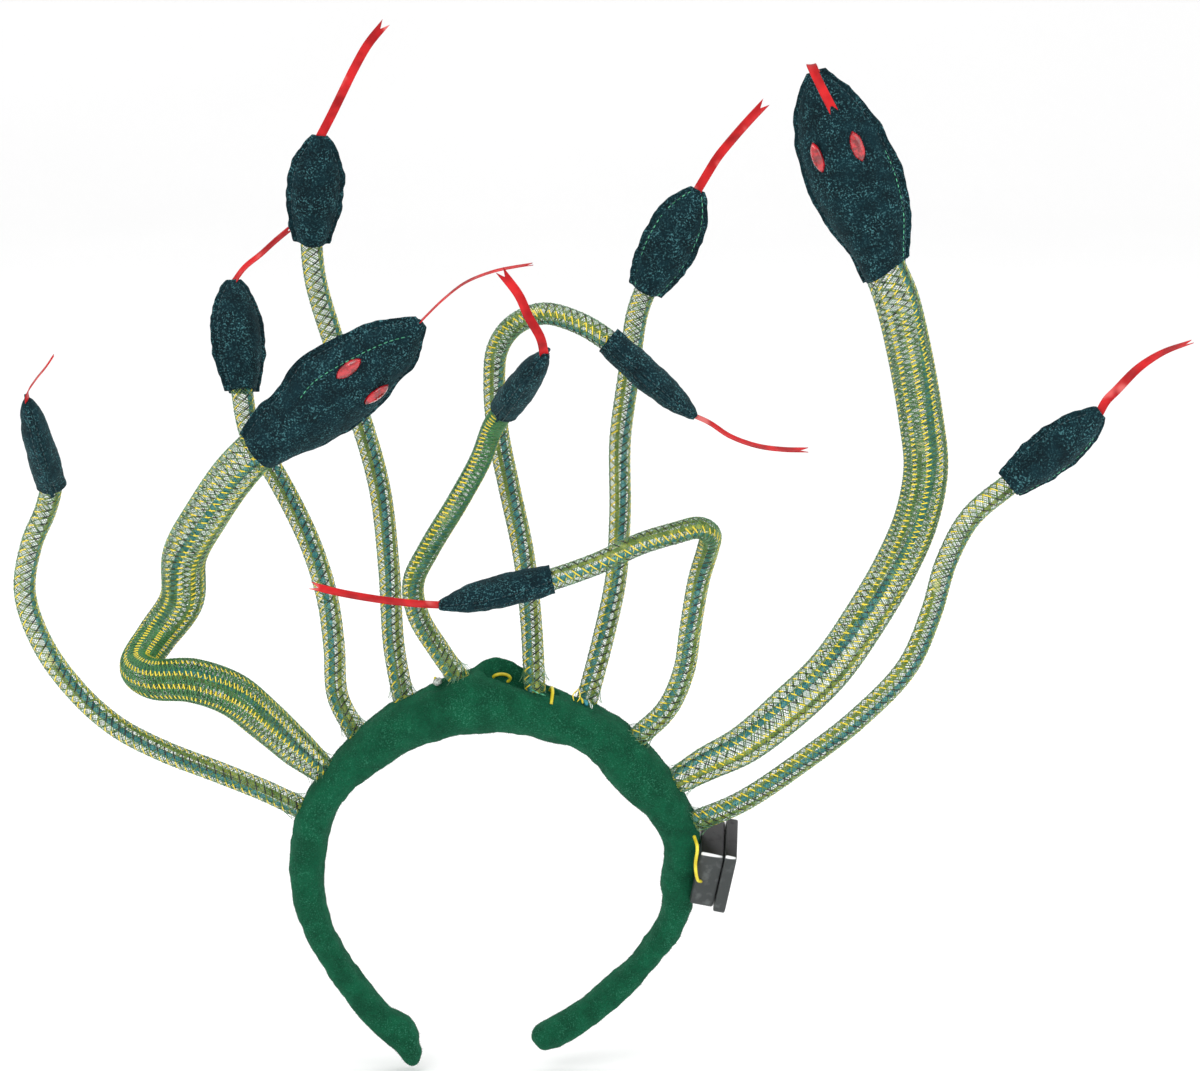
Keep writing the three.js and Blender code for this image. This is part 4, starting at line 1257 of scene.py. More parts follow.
@dataclass(frozen=True)
class Plan:
    """One snake's own places. Directions and routes are across, up and front, in shares of a reach."""

    name: str
    size: Size
    turn: float
    forward: float
    reach: float
    lamp: float
    # across, up, front and, where it isn't 1, the tube's girth
    route: tuple[tuple[float, ...], ...]
    aim: tuple[float, float, float]
    face: tuple[float, float, float]
    tongue_reach: float
    tongue_face: tuple[float, float, float]
    tongue: tuple[tuple[float, float, float], ...]
    tip_face: tuple[float, float, float] | None = None
    # share of the length, and how much denser the net is there
    squeeze: tuple[tuple[float, float], ...] = ((0.0, 1.0), (1.0, 1.0))
    film_turn: float = 2.5
    # share of the head's length, and millimetres added to its left and right half
    edges: tuple[tuple[float, float, float], ...] = ((0.0, 0.0, 0.0), (1.0, 0.0, 0.0))
    # how far the left end of the head's cut base is set back, in millimetres
    slant: float = 0.0
    # rows of bright stitches: hand (-1 left, 1 right), from and to as shares of the length, millimetres in
    rows: tuple[tuple[int, float, float, float], ...] = ()


PLANS = (
    Plan(
        name="snake_1", size=Size.SMALL, turn=159.5, forward=0, reach=148, lamp=0.62,
        route=(
            (-0.08, 0.04, 0.00), (-0.20, 0.09, 0.00), (-0.33, 0.145, 0.01), (-0.44, 0.205, 0.01),
            (-0.53, 0.295, 0.03), (-0.61, 0.42, 0.05), (-0.65, 0.55, 0.05), (-0.63, 0.67, 0.05),
            (-0.595, 0.75, 0.06), (-0.575, 0.82, 0.09),
        ),
        aim=(-0.12, 0.84, 0.53), face=(-0.95, 0.10, 0.25),
        tongue_reach=18, tongue_face=(-0.8, 0.6, 0.1),
        tongue=((0.02, 0.20, 0.12), (0.18, 0.45, 0.20), (0.40, 0.72, 0.22), (0.56, 0.95, 0.20)),
    ),
    Plan(
        name="snake_2", size=Size.LARGE, turn=147, forward=0, reach=124, lamp=0.72,
        route=(
            (-0.07, 0.07, 0.03, 0.85), (-0.16, 0.17, 0.08, 0.95), (-0.25, 0.26, 0.13),
            (-0.36, 0.31, 0.17), (-0.47, 0.31, 0.15, 0.92), (-0.52, 0.33, 0.08, 0.86),
            (-0.475, 0.40, 0.01, 0.92), (-0.40, 0.51, 0.01), (-0.385, 0.65, 0.05),
            (-0.315, 0.78, 0.10), (-0.235, 0.90, 0.14), (-0.16, 0.985, 0.18, 0.95),
        ),
        aim=(0.77, 0.62, 0.13), face=(0.26, -0.34, 0.90),
        tongue_reach=43, tongue_face=(-0.35, 0.93, 0.1),
        tongue=(
            (0.20, 0.20, 0.03), (0.38, 0.34, 0.05), (0.60, 0.43, 0.06), (0.78, 0.47, 0.07),
            (0.92, 0.49, 0.06),
        ),
        squeeze=((0.0, 0.9), (0.1, 1.2), (0.25, 1.8), (0.45, 2.4), (0.6, 1.6), (0.8, 1.1), (1.0, 1.0)),
        film_turn=3.3,
        rows=((-1, 0.34, 0.95, 7.0),),
        edges=(
            (0.0, 0.0, 0.0), (0.12, 0.6, 0.3), (0.26, -1.5, 0.2), (0.34, -0.9, 0.0), (0.44, 1.2, -0.2),
            (0.6, 0.7, -0.4), (0.72, 0.1, -1.2), (0.8, 0.2, -0.2), (1.0, 0.0, 0.0),
        ),
    ),
    Plan(
        name="snake_3", size=Size.SMALL, turn=133, forward=-0.26, reach=126, lamp=0.88,
        route=(
            (-0.05, 0.10, -0.01), (-0.06, 0.25, -0.02), (-0.08, 0.39, -0.04), (-0.13, 0.55, -0.05),
            (-0.22, 0.73, -0.07), (-0.29, 0.84, -0.08), (-0.315, 0.975, -0.08),
        ),
        aim=(-0.09, 0.91, -0.38), face=(0.45, 0.00, 0.90),
        tongue_reach=29, tongue_face=(-0.6, 0.6, 0.5),
        tongue=((0.14, 0.18, -0.04), (0.34, 0.34, -0.08), (0.52, 0.50, -0.12), (0.74, 0.68, -0.14)),
    ),
    Plan(
        name="snake_4", size=Size.SMALL, turn=116.5, forward=-0.34, reach=165, lamp=0.75,
        route=(
            (-0.02, 0.11, -0.02), (-0.03, 0.28, -0.04), (-0.05, 0.46, -0.05), (-0.10, 0.64, -0.06),
            (-0.15, 0.79, -0.06), (-0.182, 0.91, -0.05), (-0.19, 0.995, -0.05),
        ),
        aim=(0.10, 0.95, 0.28), face=(0.10, 0.00, 1.00),
        tongue_reach=46, tongue_face=(0.1, 0, 1),
        tongue=(
            (0.09, 0.17, 0.00), (0.18, 0.35, 0.01), (0.27, 0.53, 0.03), (0.38, 0.72, 0.05),
            (0.52, 0.89, 0.06),
        ),
    ),
    Plan(
        name="snake_5", size=Size.SMALL, turn=100, forward=0.16, reach=104, lamp=0.6,
        route=(
            (-0.06, 0.10, 0.04), (-0.13, 0.23, 0.07), (-0.145, 0.35, 0.09), (-0.09, 0.47, 0.10),
            (0.01, 0.64, 0.12), (0.09, 0.79, 0.13), (0.13, 0.90, 0.15), (0.17, 0.97, 0.21),
        ),
        aim=(0.36, 0.60, 0.71), face=(0.85, -0.45, 0.15),
        tongue_reach=33, tongue_face=(0.2, 0.2, 1),
        tongue=((-0.04, 0.22, 0.16), (-0.16, 0.44, 0.18), (-0.26, 0.66, 0.16), (-0.46, 0.92, 0.12)),
        squeeze=((0.0, 1.0), (0.2, 1.2), (0.45, 1.6), (0.8, 1.9), (1.0, 1.9)),
    ),
    Plan(
        name="snake_6", size=Size.SMALL, turn=79, forward=0.24, reach=128, lamp=0.85,
        route=(
            (-0.01, 0.18, -0.02), (-0.03, 0.36, -0.03), (-0.07, 0.55, -0.05), (-0.10, 0.70, -0.06),
            (-0.11, 0.83, -0.06), (-0.10, 0.94, -0.04), (-0.05, 1.015, 0.00), (0.03, 1.05, 0.03),
            (0.13, 1.025, 0.05), (0.205, 0.98, 0.06),
        ),
        aim=(0.75, -0.65, 0.10), face=(0.63, 0.74, 0.12),
        tongue_reach=43, tongue_face=(0.2, 0.9, 0.3),
        tongue=(
            (0.13, -0.06, 0.01), (0.30, -0.17, 0.02), (0.52, -0.25, 0.02), (0.73, -0.28, 0.02),
            (0.94, -0.285, 0.02),
        ),
        squeeze=((0.0, 1.0), (0.6, 1.1), (0.75, 1.4), (1.0, 1.1)),
    ),
    Plan(
        name="snake_7", size=Size.SMALL, turn=63, forward=-0.42, reach=149, lamp=0.88,
        route=(
            (0.04, 0.15, -0.03), (0.07, 0.29, -0.06), (0.08, 0.45, -0.08), (0.08, 0.62, -0.10),
            (0.10, 0.78, -0.10), (0.12, 0.93, -0.09), (0.14, 0.99, -0.08),
        ),
        aim=(0.45, 0.89, 0.07), face=(0.05, -0.05, 1.00),
        tongue_reach=43, tongue_face=(-0.1, 0.2, 1),
        tongue=(
            (0.08, 0.14, 0.02), (0.17, 0.29, 0.04), (0.28, 0.43, 0.05), (0.42, 0.59, 0.04),
            (0.57, 0.75, 0.03),
        ),
        rows=((-1, 0.03, 0.95, 2.3), (1, 0.03, 0.95, 2.3)),
    ),
    Plan(
        name="snake_8", size=Size.SMALL, turn=46, forward=0.16, reach=74, lamp=0.85,
        route=(
            (0.14, 0.15, 0.04), (0.22, 0.35, 0.09), (0.25, 0.57, 0.14), (0.29, 0.82, 0.16),
            (0.33, 0.97, 0.19), (0.34, 1.06, 0.26), (0.28, 1.11, 0.34), (0.17, 1.09, 0.37),
            (0.01, 1.04, 0.37), (-0.20, 0.94, 0.36), (-0.41, 0.86, 0.34),
        ),
        aim=(-0.97, -0.22, 0.06), face=(-0.20, 0.95, 0.20),
        tongue_reach=46, tongue_face=(0, 0.8, 0.6),
        tongue=((-0.20, 0.015, 0.01), (-0.46, 0.045, 0.01), (-0.76, 0.095, 0.00), (-1.00, 0.15, -0.02)),
        squeeze=((0.0, 1.0), (0.4, 1.0), (0.6, 1.5), (0.8, 1.0), (1.0, 1.0)),
    ),
    Plan(
        name="snake_9", size=Size.LARGE, turn=29, forward=0, reach=201, lamp=0.72,
        route=(
            (0.05, 0.03, 0.00, 0.78), (0.12, 0.07, 0.01, 0.90), (0.20, 0.14, 0.02), (0.27, 0.21, 0.02),
            (0.335, 0.31, 0.03), (0.385, 0.40, 0.03), (0.42, 0.49, 0.04), (0.435, 0.58, 0.04),
            (0.425, 0.67, 0.04), (0.405, 0.78, 0.03), (0.38, 0.88, 0.03), (0.36, 0.93, 0.03, 0.95),
        ),
        aim=(-0.335, 0.94, 0.07), face=(-0.34, 0.00, 0.94),
        tongue_reach=18, tongue_face=(-0.2, 0.9, 0.1), tip_face=(0.1, 0.2, 1),
        tongue=(
            (-0.10, 0.16, 0.12), (-0.14, 0.20, 0.34), (-0.06, 0.02, 0.52), (0.10, -0.30, 0.58),
            (0.30, -0.68, 0.60),
        ),
        squeeze=((0.0, 0.7), (0.2, 0.9), (0.45, 1.1), (0.6, 1.6), (0.85, 1.6), (0.96, 1.0), (1.0, 0.8)),
        film_turn=2.3,
        edges=(
            (0.0, -0.4, 0.6), (0.15, -1.3, 1.0), (0.35, -0.7, 0.5), (0.6, 0.5, 0.0), (0.85, 1.0, -0.5),
            (1.0, 0.8, 0.4),
        ),
        slant=-2.4,
        rows=((1, 0.03, 0.55, 2.4),),
    ),
    Plan(
        name="snake_10", size=Size.SMALL, turn=17, forward=0.28, reach=167, lamp=0.75,
        route=(
            (0.10, 0.05, 0.02), (0.23, 0.14, 0.02), (0.35, 0.24, 0.03), (0.45, 0.35, 0.03),
            (0.50, 0.47, 0.03), (0.53, 0.58, 0.03), (0.58, 0.68, 0.04), (0.66, 0.75, 0.04),
        ),
        aim=(0.77, 0.64, 0.05), face=(0.25, -0.30, 0.90),
        tongue_reach=42, tongue_face=(0.3, 0.2, 1), tip_face=(-0.4, 1, 0.2),
        tongue=(
            (0.06, 0.12, 0.02), (0.14, 0.21, 0.04), (0.32, 0.40, 0.05), (0.52, 0.53, 0.04),
            (0.77, 0.62, 0.02),
        ),
        rows=((1, 0.03, 0.9, 2.3),),
    ),
)


@dataclass
class NetTube:
    """One snake's tube of braided net, with the film strip, the lead and the lamp inside it."""

    plan: Plan
    band: FeltBand
    root_depth: float = 4
    neck_depth: float = 4
    fine_width: float = 0.16
    bold_width: float = 0.42
    second_width: float = 0.34
    bold_thickness: float = 0.12
    lead_width: float = 0.8
    unevenness: float = 0.25
    strip_thickness: float = 0.1
    strip_winding: float = 0.03
    strip_inset: float = 0.75
    fray_strands: int = 16
    fray_width: float = 0.2
    fray_length: float = 4.5
    fray_flare: float = 1.6
    lamp_diameter: float = 3
    lamp_length: float = 5

    def __post_init__(self) -> None:
        """Works out the tube's line, its girth and the winding of its strands."""
        plan, kind = self.plan, KINDS[self.plan.size]
        root = self.band.on(plan.turn, plan.forward, 0)
        places = np.array([root + plan.reach * toward(*row[:3]) for row in plan.route])
        girths = [row[3] if len(row) > 3 else 1.0 for row in plan.route]
        self.neck = places[-1]
        self.aim = unit(toward(*plan.aim))
        outward = unit(places[0] - root)
        corners = np.vstack([root - self.root_depth * outward, root, places, self.neck + self.neck_depth * self.aim])
        steps = 40
        dense = smooth_route(corners, steps)
        rows = np.arange(len(corners)) * steps
        girth = np.interp(np.arange(len(dense)), rows, [kind.root_girth, kind.root_girth, *girths, girths[-1]])
        along = lengths_along(dense)
        shares, factors = zip(*plan.squeeze)
        dense_by = np.interp(along / along[-1], shares, factors)
        rate = TURN / kind.pitch * dense_by
        winding = np.concatenate([[0], np.cumsum(np.diff(along) * (rate[1:] + rate[:-1]) / 2)])
        measure = np.maximum(winding * kind.steps_a_turn / TURN, along / 2.0)
        measure = np.maximum.accumulate(measure)
        count = int(measure[-1]) + 1
        wanted = np.linspace(0, measure[-1], count)
        self.line = Line(resampled(dense, measure, wanted))
        self.girth = resampled(girth, measure, wanted) * kind.tube / 2
        self.winding = resampled(winding, measure, wanted)
        self.along = resampled(along, measure, wanted)
        self.tight = between(np.interp(self.along / along[-1], shares, factors), 1.15, 1.9)

    def path(self, last: int | None = None) -> Piece:
        """The guide for the twine tree, as far as a point."""
        line = self.line
        values = {
            "side": line.side,
            "up": line.up,
            "girth": self.girth * MM,
            "winding": self.winding,
            "tight": self.tight,
        }
        return guide(
            self.plan.name + "_path", line.points[:last], {key: rows[:last] for key, rows in values.items()}
        )

    def build(self, materials: Materials, trees: dict[str, Tree]) -> None:
        """Makes the net, the film, the lead and the lamp."""
        kind, name = KINDS[self.plan.size], self.plan.name
        twine = trees["twine"]
        path = self.path()
        first_bold, second_bold = materials.first_bold[self.plan.size], materials.second_bold[self.plan.size]
        # strands, winding share, first turn, inset, profile, width, material
        layers = (
            (kind.fine, 1.0, 0.0, 0.10, Profile.ROUND, self.fine_width, materials.filament),
            (kind.fine, -1.0, 0.1, 0.16, Profile.ROUND, self.fine_width, materials.filament),
            (kind.bold, 1.0, 0.05, 0.06, Profile.FLAT, self.bold_width, first_bold),
            (kind.bold, -1.0, 0.3, 0.20, Profile.FLAT, self.second_width, second_bold),
        )
        parts = []
        for number, (count, share, first, inset, profile, width, material) in enumerate(layers):
            layer = Twine(
                count, width, self.bold_thickness, material, profile, spacing=TURN / count, first=first,
                winding=share, unevenness=self.unevenness, inset=inset, seed=number,
            )
            parts.append(twine.grown(f"{name}_strands_{number}", path, layer.inputs()))
        net = joined(name + "_net", parts)
        keep(net, nodes=[name + "_tube"])
        strips = (("film", 0.0, kind.film, materials.film), ("strip", 0.95, kind.film * 0.75, materials.strip))
        for title, over, width, material in strips:
            strip = Twine(
                1, width, self.strip_thickness, material, sides=4, first=self.plan.film_turn + over,
                winding=self.strip_winding, inset=self.strip_inset,
            )
            keep(twine.grown(f"{name}_{title}", path, strip.inputs()))
        self.build_frayed_end(materials, twine)
        self.build_light(materials, twine)

    def build_frayed_end(self, materials: Materials, twine: Tree) -> None:
        """Makes the cut ends of the net that flare out over the felt."""
        wanted = np.linspace(self.root_depth + self.fray_length, self.root_depth + 0.4, 6)
        read = lambda values: resampled(values, self.along, wanted)
        flare = self.fray_flare * np.linspace(0, 1, len(wanted)) ** 2
        values = {
            "side": read(self.line.side),
            "up": read(self.line.up),
            "girth": (read(self.girth) + flare) * MM,
            "winding": read(self.winding),
            "tight": read(self.tight),
        }
        path = guide(self.plan.name + "_end", read(self.line.points), values)
        ends = Twine(
            self.fray_strands, self.fray_width, self.fray_width, materials.filament, Profile.ROUND,
            spacing=TURN / self.fray_strands, first=0.15, winding=0.6, unevenness=0.9, seed=9,
        )
        frayed = twine.grown(self.plan.name + "_frayed_end", path, ends.inputs())
        keep(frayed)

    def build_light(self, materials: Materials, twine: Tree) -> None:
        """Makes the pair of leads and the lamp at their end."""
        name, kind = self.plan.name, KINDS[self.plan.size]
        lamp_start = self.plan.lamp * (self.along[-1] - self.neck_depth - self.lamp_length)
        last = int(np.searchsorted(self.along, lamp_start)) + 1
        inset = 1.0 + self.lead_width / 2
        seat = math.pi / (8 if self.plan.size is Size.SMALL else 10)
        spread = self.lead_width / (kind.tube / 2 - inset)
        pair = Twine(
            2, self.lead_width, self.lead_width, materials.lead, Profile.ROUND, sides=6, spacing=spread,
            first=seat - spread / 2, inset=inset,
        )
        leads = twine.grown(name + "_leads", self.path(last), pair.inputs())
        wanted = np.linspace(lamp_start, lamp_start + self.lamp_length, 9)
        points = resampled(self.line.points, self.along, wanted)
        side = resampled(self.line.side, self.along, wanted)
        up = resampled(self.line.up, self.along, wanted)
        girth = resampled(self.girth, self.along, wanted)
        lift = (girth - 1.2 - self.lamp_diameter / 2)[:, None]
        spoke = math.cos(seat) * side + math.sin(seat) * up
        radii = self.lamp_diameter / 2 * np.array([0.7, 1, 1, 0.9, 0.9, 0.88, 0.78, 0.55, 0.15])
        lamp = sweep(name + "_cap", Line(points + lift * spoke), list(radii), 12)
        lamp.data.materials.append(materials.lamp)
        light = joined(name + "_lamp_and_leads", [leads, lamp])
        keep(light, nodes=[name + "_light"])


@dataclass
class VelvetHead:
    """One snake's padded head, sewn from two layers of velvet with a flat edge round its seam."""

    plan: Plan
    neck: Array
    aim: Array
    margin: float = 1.9
    edge: float = 0.55
    rows: int = 56
    columns: int = 28
    eye_length: float = 11.5
    eye_width: float = 4.6
    eye_rise: float = 1.7
    eye_spacing: float = 15
    eye_along: float = 0.625
    stitch_rise: float = 0.16

    def __post_init__(self) -> None:
        """Works out the head's directions."""
        face = toward(*self.plan.face)
        self.face = unit(face - self.aim * face.dot(self.aim))
        self.side = np.cross(self.aim, self.face)
        self.kind = KINDS[self.plan.size]

    def extra(self, along: Array, hand: int) -> Array:
        """How much wider the left (-1) or the right (1) half is than its kind's, at shares of the length."""
        shares, left, right = zip(*self.plan.edges)
        return smooth_table(along, shares, left if hand < 0 else right)

    def outline(self, along: Array) -> tuple[Array, Array]:
        """The half width and the half thickness at shares of the length."""
        shares, widths, heights = zip(*self.kind.sections)
        half = smooth_table(along, shares, widths) * self.kind.width / 2
        return half, smooth_table(along, shares, heights) * self.kind.thickness / 2

    def height(self, half: Array, thick: Array, across: Array) -> Array:
        """How far a layer stands from the middle, at a distance across."""
        core = np.maximum(half - self.margin, 0.01)
        inward = np.clip((core - np.abs(across)) / core, 0, 1)
        puff = (1 - (1 - inward) ** 2.0) ** 0.62
        return self.edge + np.maximum(thick - self.edge, 0) * puff

    def place(self, along: float, across: float, out: float) -> Array:
        """A place by its share of the length, and millimetres across and out."""
        return self.neck + self.aim * self.kind.length * along + self.side * across + self.face * out

    def surface(self, along: float, across: float, extra: float = 0) -> Array:
        """A place on the front layer."""
        half, thick = (float(value) for value in self.outline(np.array(along)))
        return self.place(along, across, float(self.height(half, thick, np.array(across))) + extra)

    def skin(self) -> Piece:
        """The two layers, joined round their edge."""
        shares = np.linspace(0, 1, self.rows)
        half, thick = self.outline(shares)
        angle = np.linspace(0, math.pi, self.columns)
        spread = np.cos(angle)
        rings = []
        left, right = self.extra(shares, -1), self.extra(shares, 1)
        for share, wide, tall, more_left, more_right in zip(shares, half, thick, left, right):
            across = wide * spread
            out = self.height(wide, tall, across)
            ragged = 0.45 * noise.noise(Vector((share * 14, self.plan.turn, self.plan.reach)))
            across = across * (1 + (np.where(across < 0, more_left, more_right) + ragged) / wide)
            share = share - self.plan.slant * across / wide / self.kind.length * max(0.0, 1 - share * 4)
            rim = np.sqrt(np.clip(1 - spread**2, 0, 1))
            out = np.where(np.abs(spread) > 0.965, out * np.clip(rim / 0.262, 0.0, 1), out)
            front = [self.place(at, x, y) for at, x, y in zip(share, across, out)]
            back = [self.place(at, x, -y) for at, x, y in zip(share[-2:0:-1], across[-2:0:-1], out[-2:0:-1])]
            rings.append(np.array(front + back))
        return loft(self.plan.name + "_velvet", rings)

    def build(self, materials: Materials, trees: dict[str, Tree]) -> None:
        """Makes the velvet, and the stitches round its edge."""
        head = self.skin()
        seed = self.plan.reach

        def crushed(place: Vector) -> float:
            """Soft dents of the stuffing and the velvet's own creases."""
            return 0.5 * lumps(place, 8, seed) + 0.28 * lumps(place, 3, seed + 3) + 0.12 * lumps(place, 1.4, seed + 5)

        displaced(head, crushed)
        keep(head, materials.velvet, [self.plan.name + "_head"])
        self.build_stitches(materials, trees["stitch"])
        if self.plan.size is Size.LARGE:
            self.build_eyes(materials)

    def row(self, name: str, layer: int, shares: Array, hand: int, inset: float) -> Piece:
        """The path of a row of stitches on one layer (1 front, -1 back) and one hand of the head."""
        half, thick = self.outline(shares)
        points = []
        for share, wide, tall, more in zip(shares, half, thick, self.extra(shares, hand)):
            across = max(wide - inset, 0.3)
            out = float(self.height(wide, tall, np.array(across))) + self.stitch_rise
            points.append(self.place(share, hand * across * (1 + more / wide), layer * out))
        return guide(name, np.array(points), {"out": np.tile(self.face * layer, (len(points), 1))})

    def build_stitches(self, materials: Materials, tree: Tree) -> None:
        """Sews a dark row all round inside the edge, and the bright rows."""
        sewn = [
            (layer, hand, 0.03, 0.93, self.margin + 0.15, materials.dark_thread) for layer in (1, -1) for hand in (1, -1)
        ]
        sewn += [(1, *row, materials.thread) for row in self.plan.rows]
        pieces = []
        for number, (layer, hand, start, end, inset, material) in enumerate(sewn):
            path = self.row(f"{self.plan.name}_row_{number}", layer, np.linspace(start, end, 50), hand, inset)
            values = {
                "Spacing": 2.1 * MM,
                "Length": 1.5 * MM,
                "Thickness": 0.34 * MM,
                "Material": material,
            }
            pieces.append(tree.grown(f"{self.plan.name}_stitches_{number}", path, values))
        keep(joined(self.plan.name + "_stitches", pieces))

    def build_eyes(self, materials: Materials) -> None:
        """Makes the two ridged almond domes."""
        for hand, word in ((-1, "left"), (1, "right")):
            rounds, spokes = 9, 40
            half, thick = (float(value) for value in self.outline(np.array(self.eye_along)))
            slope = -hand * math.atan2(
                float(self.height(half, thick, np.array(self.eye_spacing / 2 + 1)))
                - float(self.height(half, thick, np.array(self.eye_spacing / 2 - 1))),
                2,
            )
            rise = self.face * math.cos(slope) + self.side * math.sin(slope)
            over = np.cross(rise, self.aim)
            middle = self.surface(self.eye_along, hand * self.eye_spacing / 2, 0.4)
            points, faces = [], []
            for ring in range(rounds + 1):
                level = ring / rounds
                for spoke in range(spokes):
                    angle = TURN * spoke / spokes
                    lengthwise = math.cos(angle) * (self.eye_length / 2)
                    almond = (1 - min(1, abs(math.cos(angle))) ** 2.6) ** 0.9
                    wide = math.copysign(almond, math.sin(angle)) * self.eye_width / 2
                    y, x = lengthwise * level, wide * level
                    ridge = 0.10 * math.cos(y * TURN / 1.15) * (1 - level**4)
                    z = self.eye_rise * math.sqrt(max(0, 1 - level**2.2)) + ridge
                    points.append(middle + over * x + self.aim * y + rise * z)
            for ring in range(rounds):
                for spoke in range(spokes):
                    after = (spoke + 1) % spokes
                    here, there = ring * spokes, (ring + 1) * spokes
                    faces.append((here + spoke, here + after, there + after, there + spoke))
            rim = rounds * spokes
            points.append(middle - rise * 1.6)
            faces += [(rim + spoke, rim + (spoke + 1) % spokes, len(points) - 1) for spoke in range(spokes)]
            eye = new_piece(f"{self.plan.name}_dome_{word}", np.array(points), faces)
            merged = bmesh.new()
            merged.from_mesh(eye.data)
            bmesh.ops.remove_doubles(merged, verts=merged.verts, dist=0.01 * MM)
            bmesh.ops.recalc_face_normals(merged, faces=merged.faces)
            merged.to_mesh(eye.data)
            merged.free()
            keep(eye, materials.eye, [f"{self.plan.name}_eye_{word}"])


@dataclass
class RibbonTongue:
    """One snake's tongue: a narrow satin ribbon with a notched end."""

    plan: Plan
    neck: Array
    aim: Array
    width: float = 3.2
    thickness: float = 0.28
    seat: float = 1
    notch: float = 3.2
    steps: int = 48
    columns: int = 8

    def build(self, materials: Materials) -> None:
        """Makes the ribbon."""
        plan = self.plan
        nose = self.neck + self.aim * (KINDS[plan.size].length - self.seat)
        corners = np.vstack([nose, [nose + plan.tongue_reach * toward(*row) for row in plan.tongue]])
        dense = smooth_route(corners, 24)
        along = lengths_along(dense)
        wanted = np.linspace(0, along[-1], self.steps + 1)
        points = resampled(dense, along, wanted)
        ahead = unit(np.gradient(points, axis=0))
        root_face, tip_face = toward(*plan.tongue_face), toward(*(plan.tip_face or plan.tongue_face))
        rings = []
        for step, (point, forward) in enumerate(zip(points, ahead)):
            share = step / self.steps
            face = root_face * (1 - share) + tip_face * share
            face = unit(face - forward * face.dot(forward))
            side = np.cross(forward, face)
            cut = self.notch * (1 - self.steps * (1 - share) / 4) if share > 1 - 4 / self.steps else 0
            row = []
            for column in range(self.columns + 1):
                over = 2 * column / self.columns - 1
                cup = 0.22 * (over**2 - 0.4)
                back = cut * (1 - abs(over))
                row.append((point + side * over * self.width / 2 - forward * back, face * cup, face))
            top = [place + cup + face * self.thickness / 2 for place, cup, face in row]
            under = [place + cup - face * self.thickness / 2 for place, cup, face in reversed(row)]
            rings.append(np.array(top + under))
        sides = 2 * (self.columns + 1)
        vertices = np.vstack(rings)
        faces = []
        for step in range(self.steps):
            for side_number in range(sides):
                after = (side_number + 1) % sides
                here, there = step * sides, (step + 1) * sides
                faces.append((here + side_number, here + after, there + after, there + side_number))
        for start in (0, self.steps * sides):
            for column in range(self.columns):
                far = sides - 1 - column
                faces.append((start + column, start + column + 1, start + far - 1, start + far))
        ribbon = new_piece(plan.name + "_ribbon", vertices, faces)
        keep(ribbon, materials.ribbon, [plan.name + "_tongue"])


@dataclass
class Snake:
    """One whole snake."""

    plan: Plan
    band: FeltBand

    def build(self, materials: Materials, trees: dict[str, Tree]) -> None:
        """Makes the tube with its light, the head and the tongue."""
        tube = NetTube(self.plan, self.band)
        tube.build(materials, trees)
        VelvetHead(self.plan, tube.neck, tube.aim).build(materials, trees)
        RibbonTongue(self.plan, tube.neck, tube.aim).build(materials)


# Battery box and wires


@dataclass
class BatteryBox:
    """The small black box: a body with a lid plate on its outer side."""

    band: FeltBand
    depth: float = 29
    height: float = 21.5
    body_width: float = 8.6
    lid_width: float = 4.4
    overhang: float = 1
    corner: float = 2
    turn: float = 4
    front_down: float = 13
    lean: float = 11
    sink: float = 1.2
    gap: float = 0.3

    @property
    def left(self) -> float:
        """The body's side by the band, across from the box's middle."""
        return -(self.body_width + self.lid_width) / 2

    def middle(self) -> Array:
        """The box's middle."""
        inner, roll, _ = self.band.at(self.turn)
        return self.band.place(self.turn, inner + roll - self.sink + (self.body_width + self.lid_width) / 2, 0)

    def slab(self, name: str, start: float, end: float, overhang: float, edge: float) -> Piece:
        """A slab with rounded corners and softened edges, from one place across to another."""
        half_depth, half_height = self.depth / 2 + overhang, self.height / 2 + overhang
        outline = []
        for corner, (y, z) in enumerate(((1, 1), (-1, 1), (-1, -1), (1, -1))):
            cy, cz = y * (half_depth - self.corner), z * (half_height - self.corner)
            for step in range(6):
                angle = math.pi / 2 * (corner + step / 5)
                outline.append((cy + self.corner * math.cos(angle), cz + self.corner * math.sin(angle)))
        rings = []
        for inset, x in (
            (edge, start),
            (edge * 0.3, start + edge * 0.3),
            (0, start + edge),
            (0, end - edge),
            (edge * 0.3, end - edge * 0.3),
            (edge, end),
        ):
            scale_y, scale_z = 1 - inset / half_depth, 1 - inset / half_height
            rings.append(np.array([(x, y * scale_y, z * scale_z) for y, z in outline]))
        return loft(name, rings)

    def placed(self, piece: Piece) -> Piece:
        """The piece turned and moved to where the box hangs, in its mesh."""
        turned = Matrix.Rotation(math.radians(self.lean), 4, "Y") @ Matrix.Rotation(math.radians(self.front_down), 4, "X")
        piece.data.transform(Matrix.Translation(Vector(self.middle() * MM)) @ turned)
        piece.data.set_sharp_from_angle(angle=math.radians(34))
        return piece

    def build(self, materials: Materials) -> None:
        """Makes the body and the lid."""
        split = self.left + self.body_width
        body = self.placed(self.slab("battery_box_shell", self.left, split - self.gap / 2, 0, 0.7))
        keep(body, materials.plastic, ["battery_box_body"])
        lid = self.placed(self.slab("battery_box_cover", split + self.gap / 2, -self.left, self.overhang, 0.5))
        keep(lid, materials.plastic, ["battery_box_lid"])


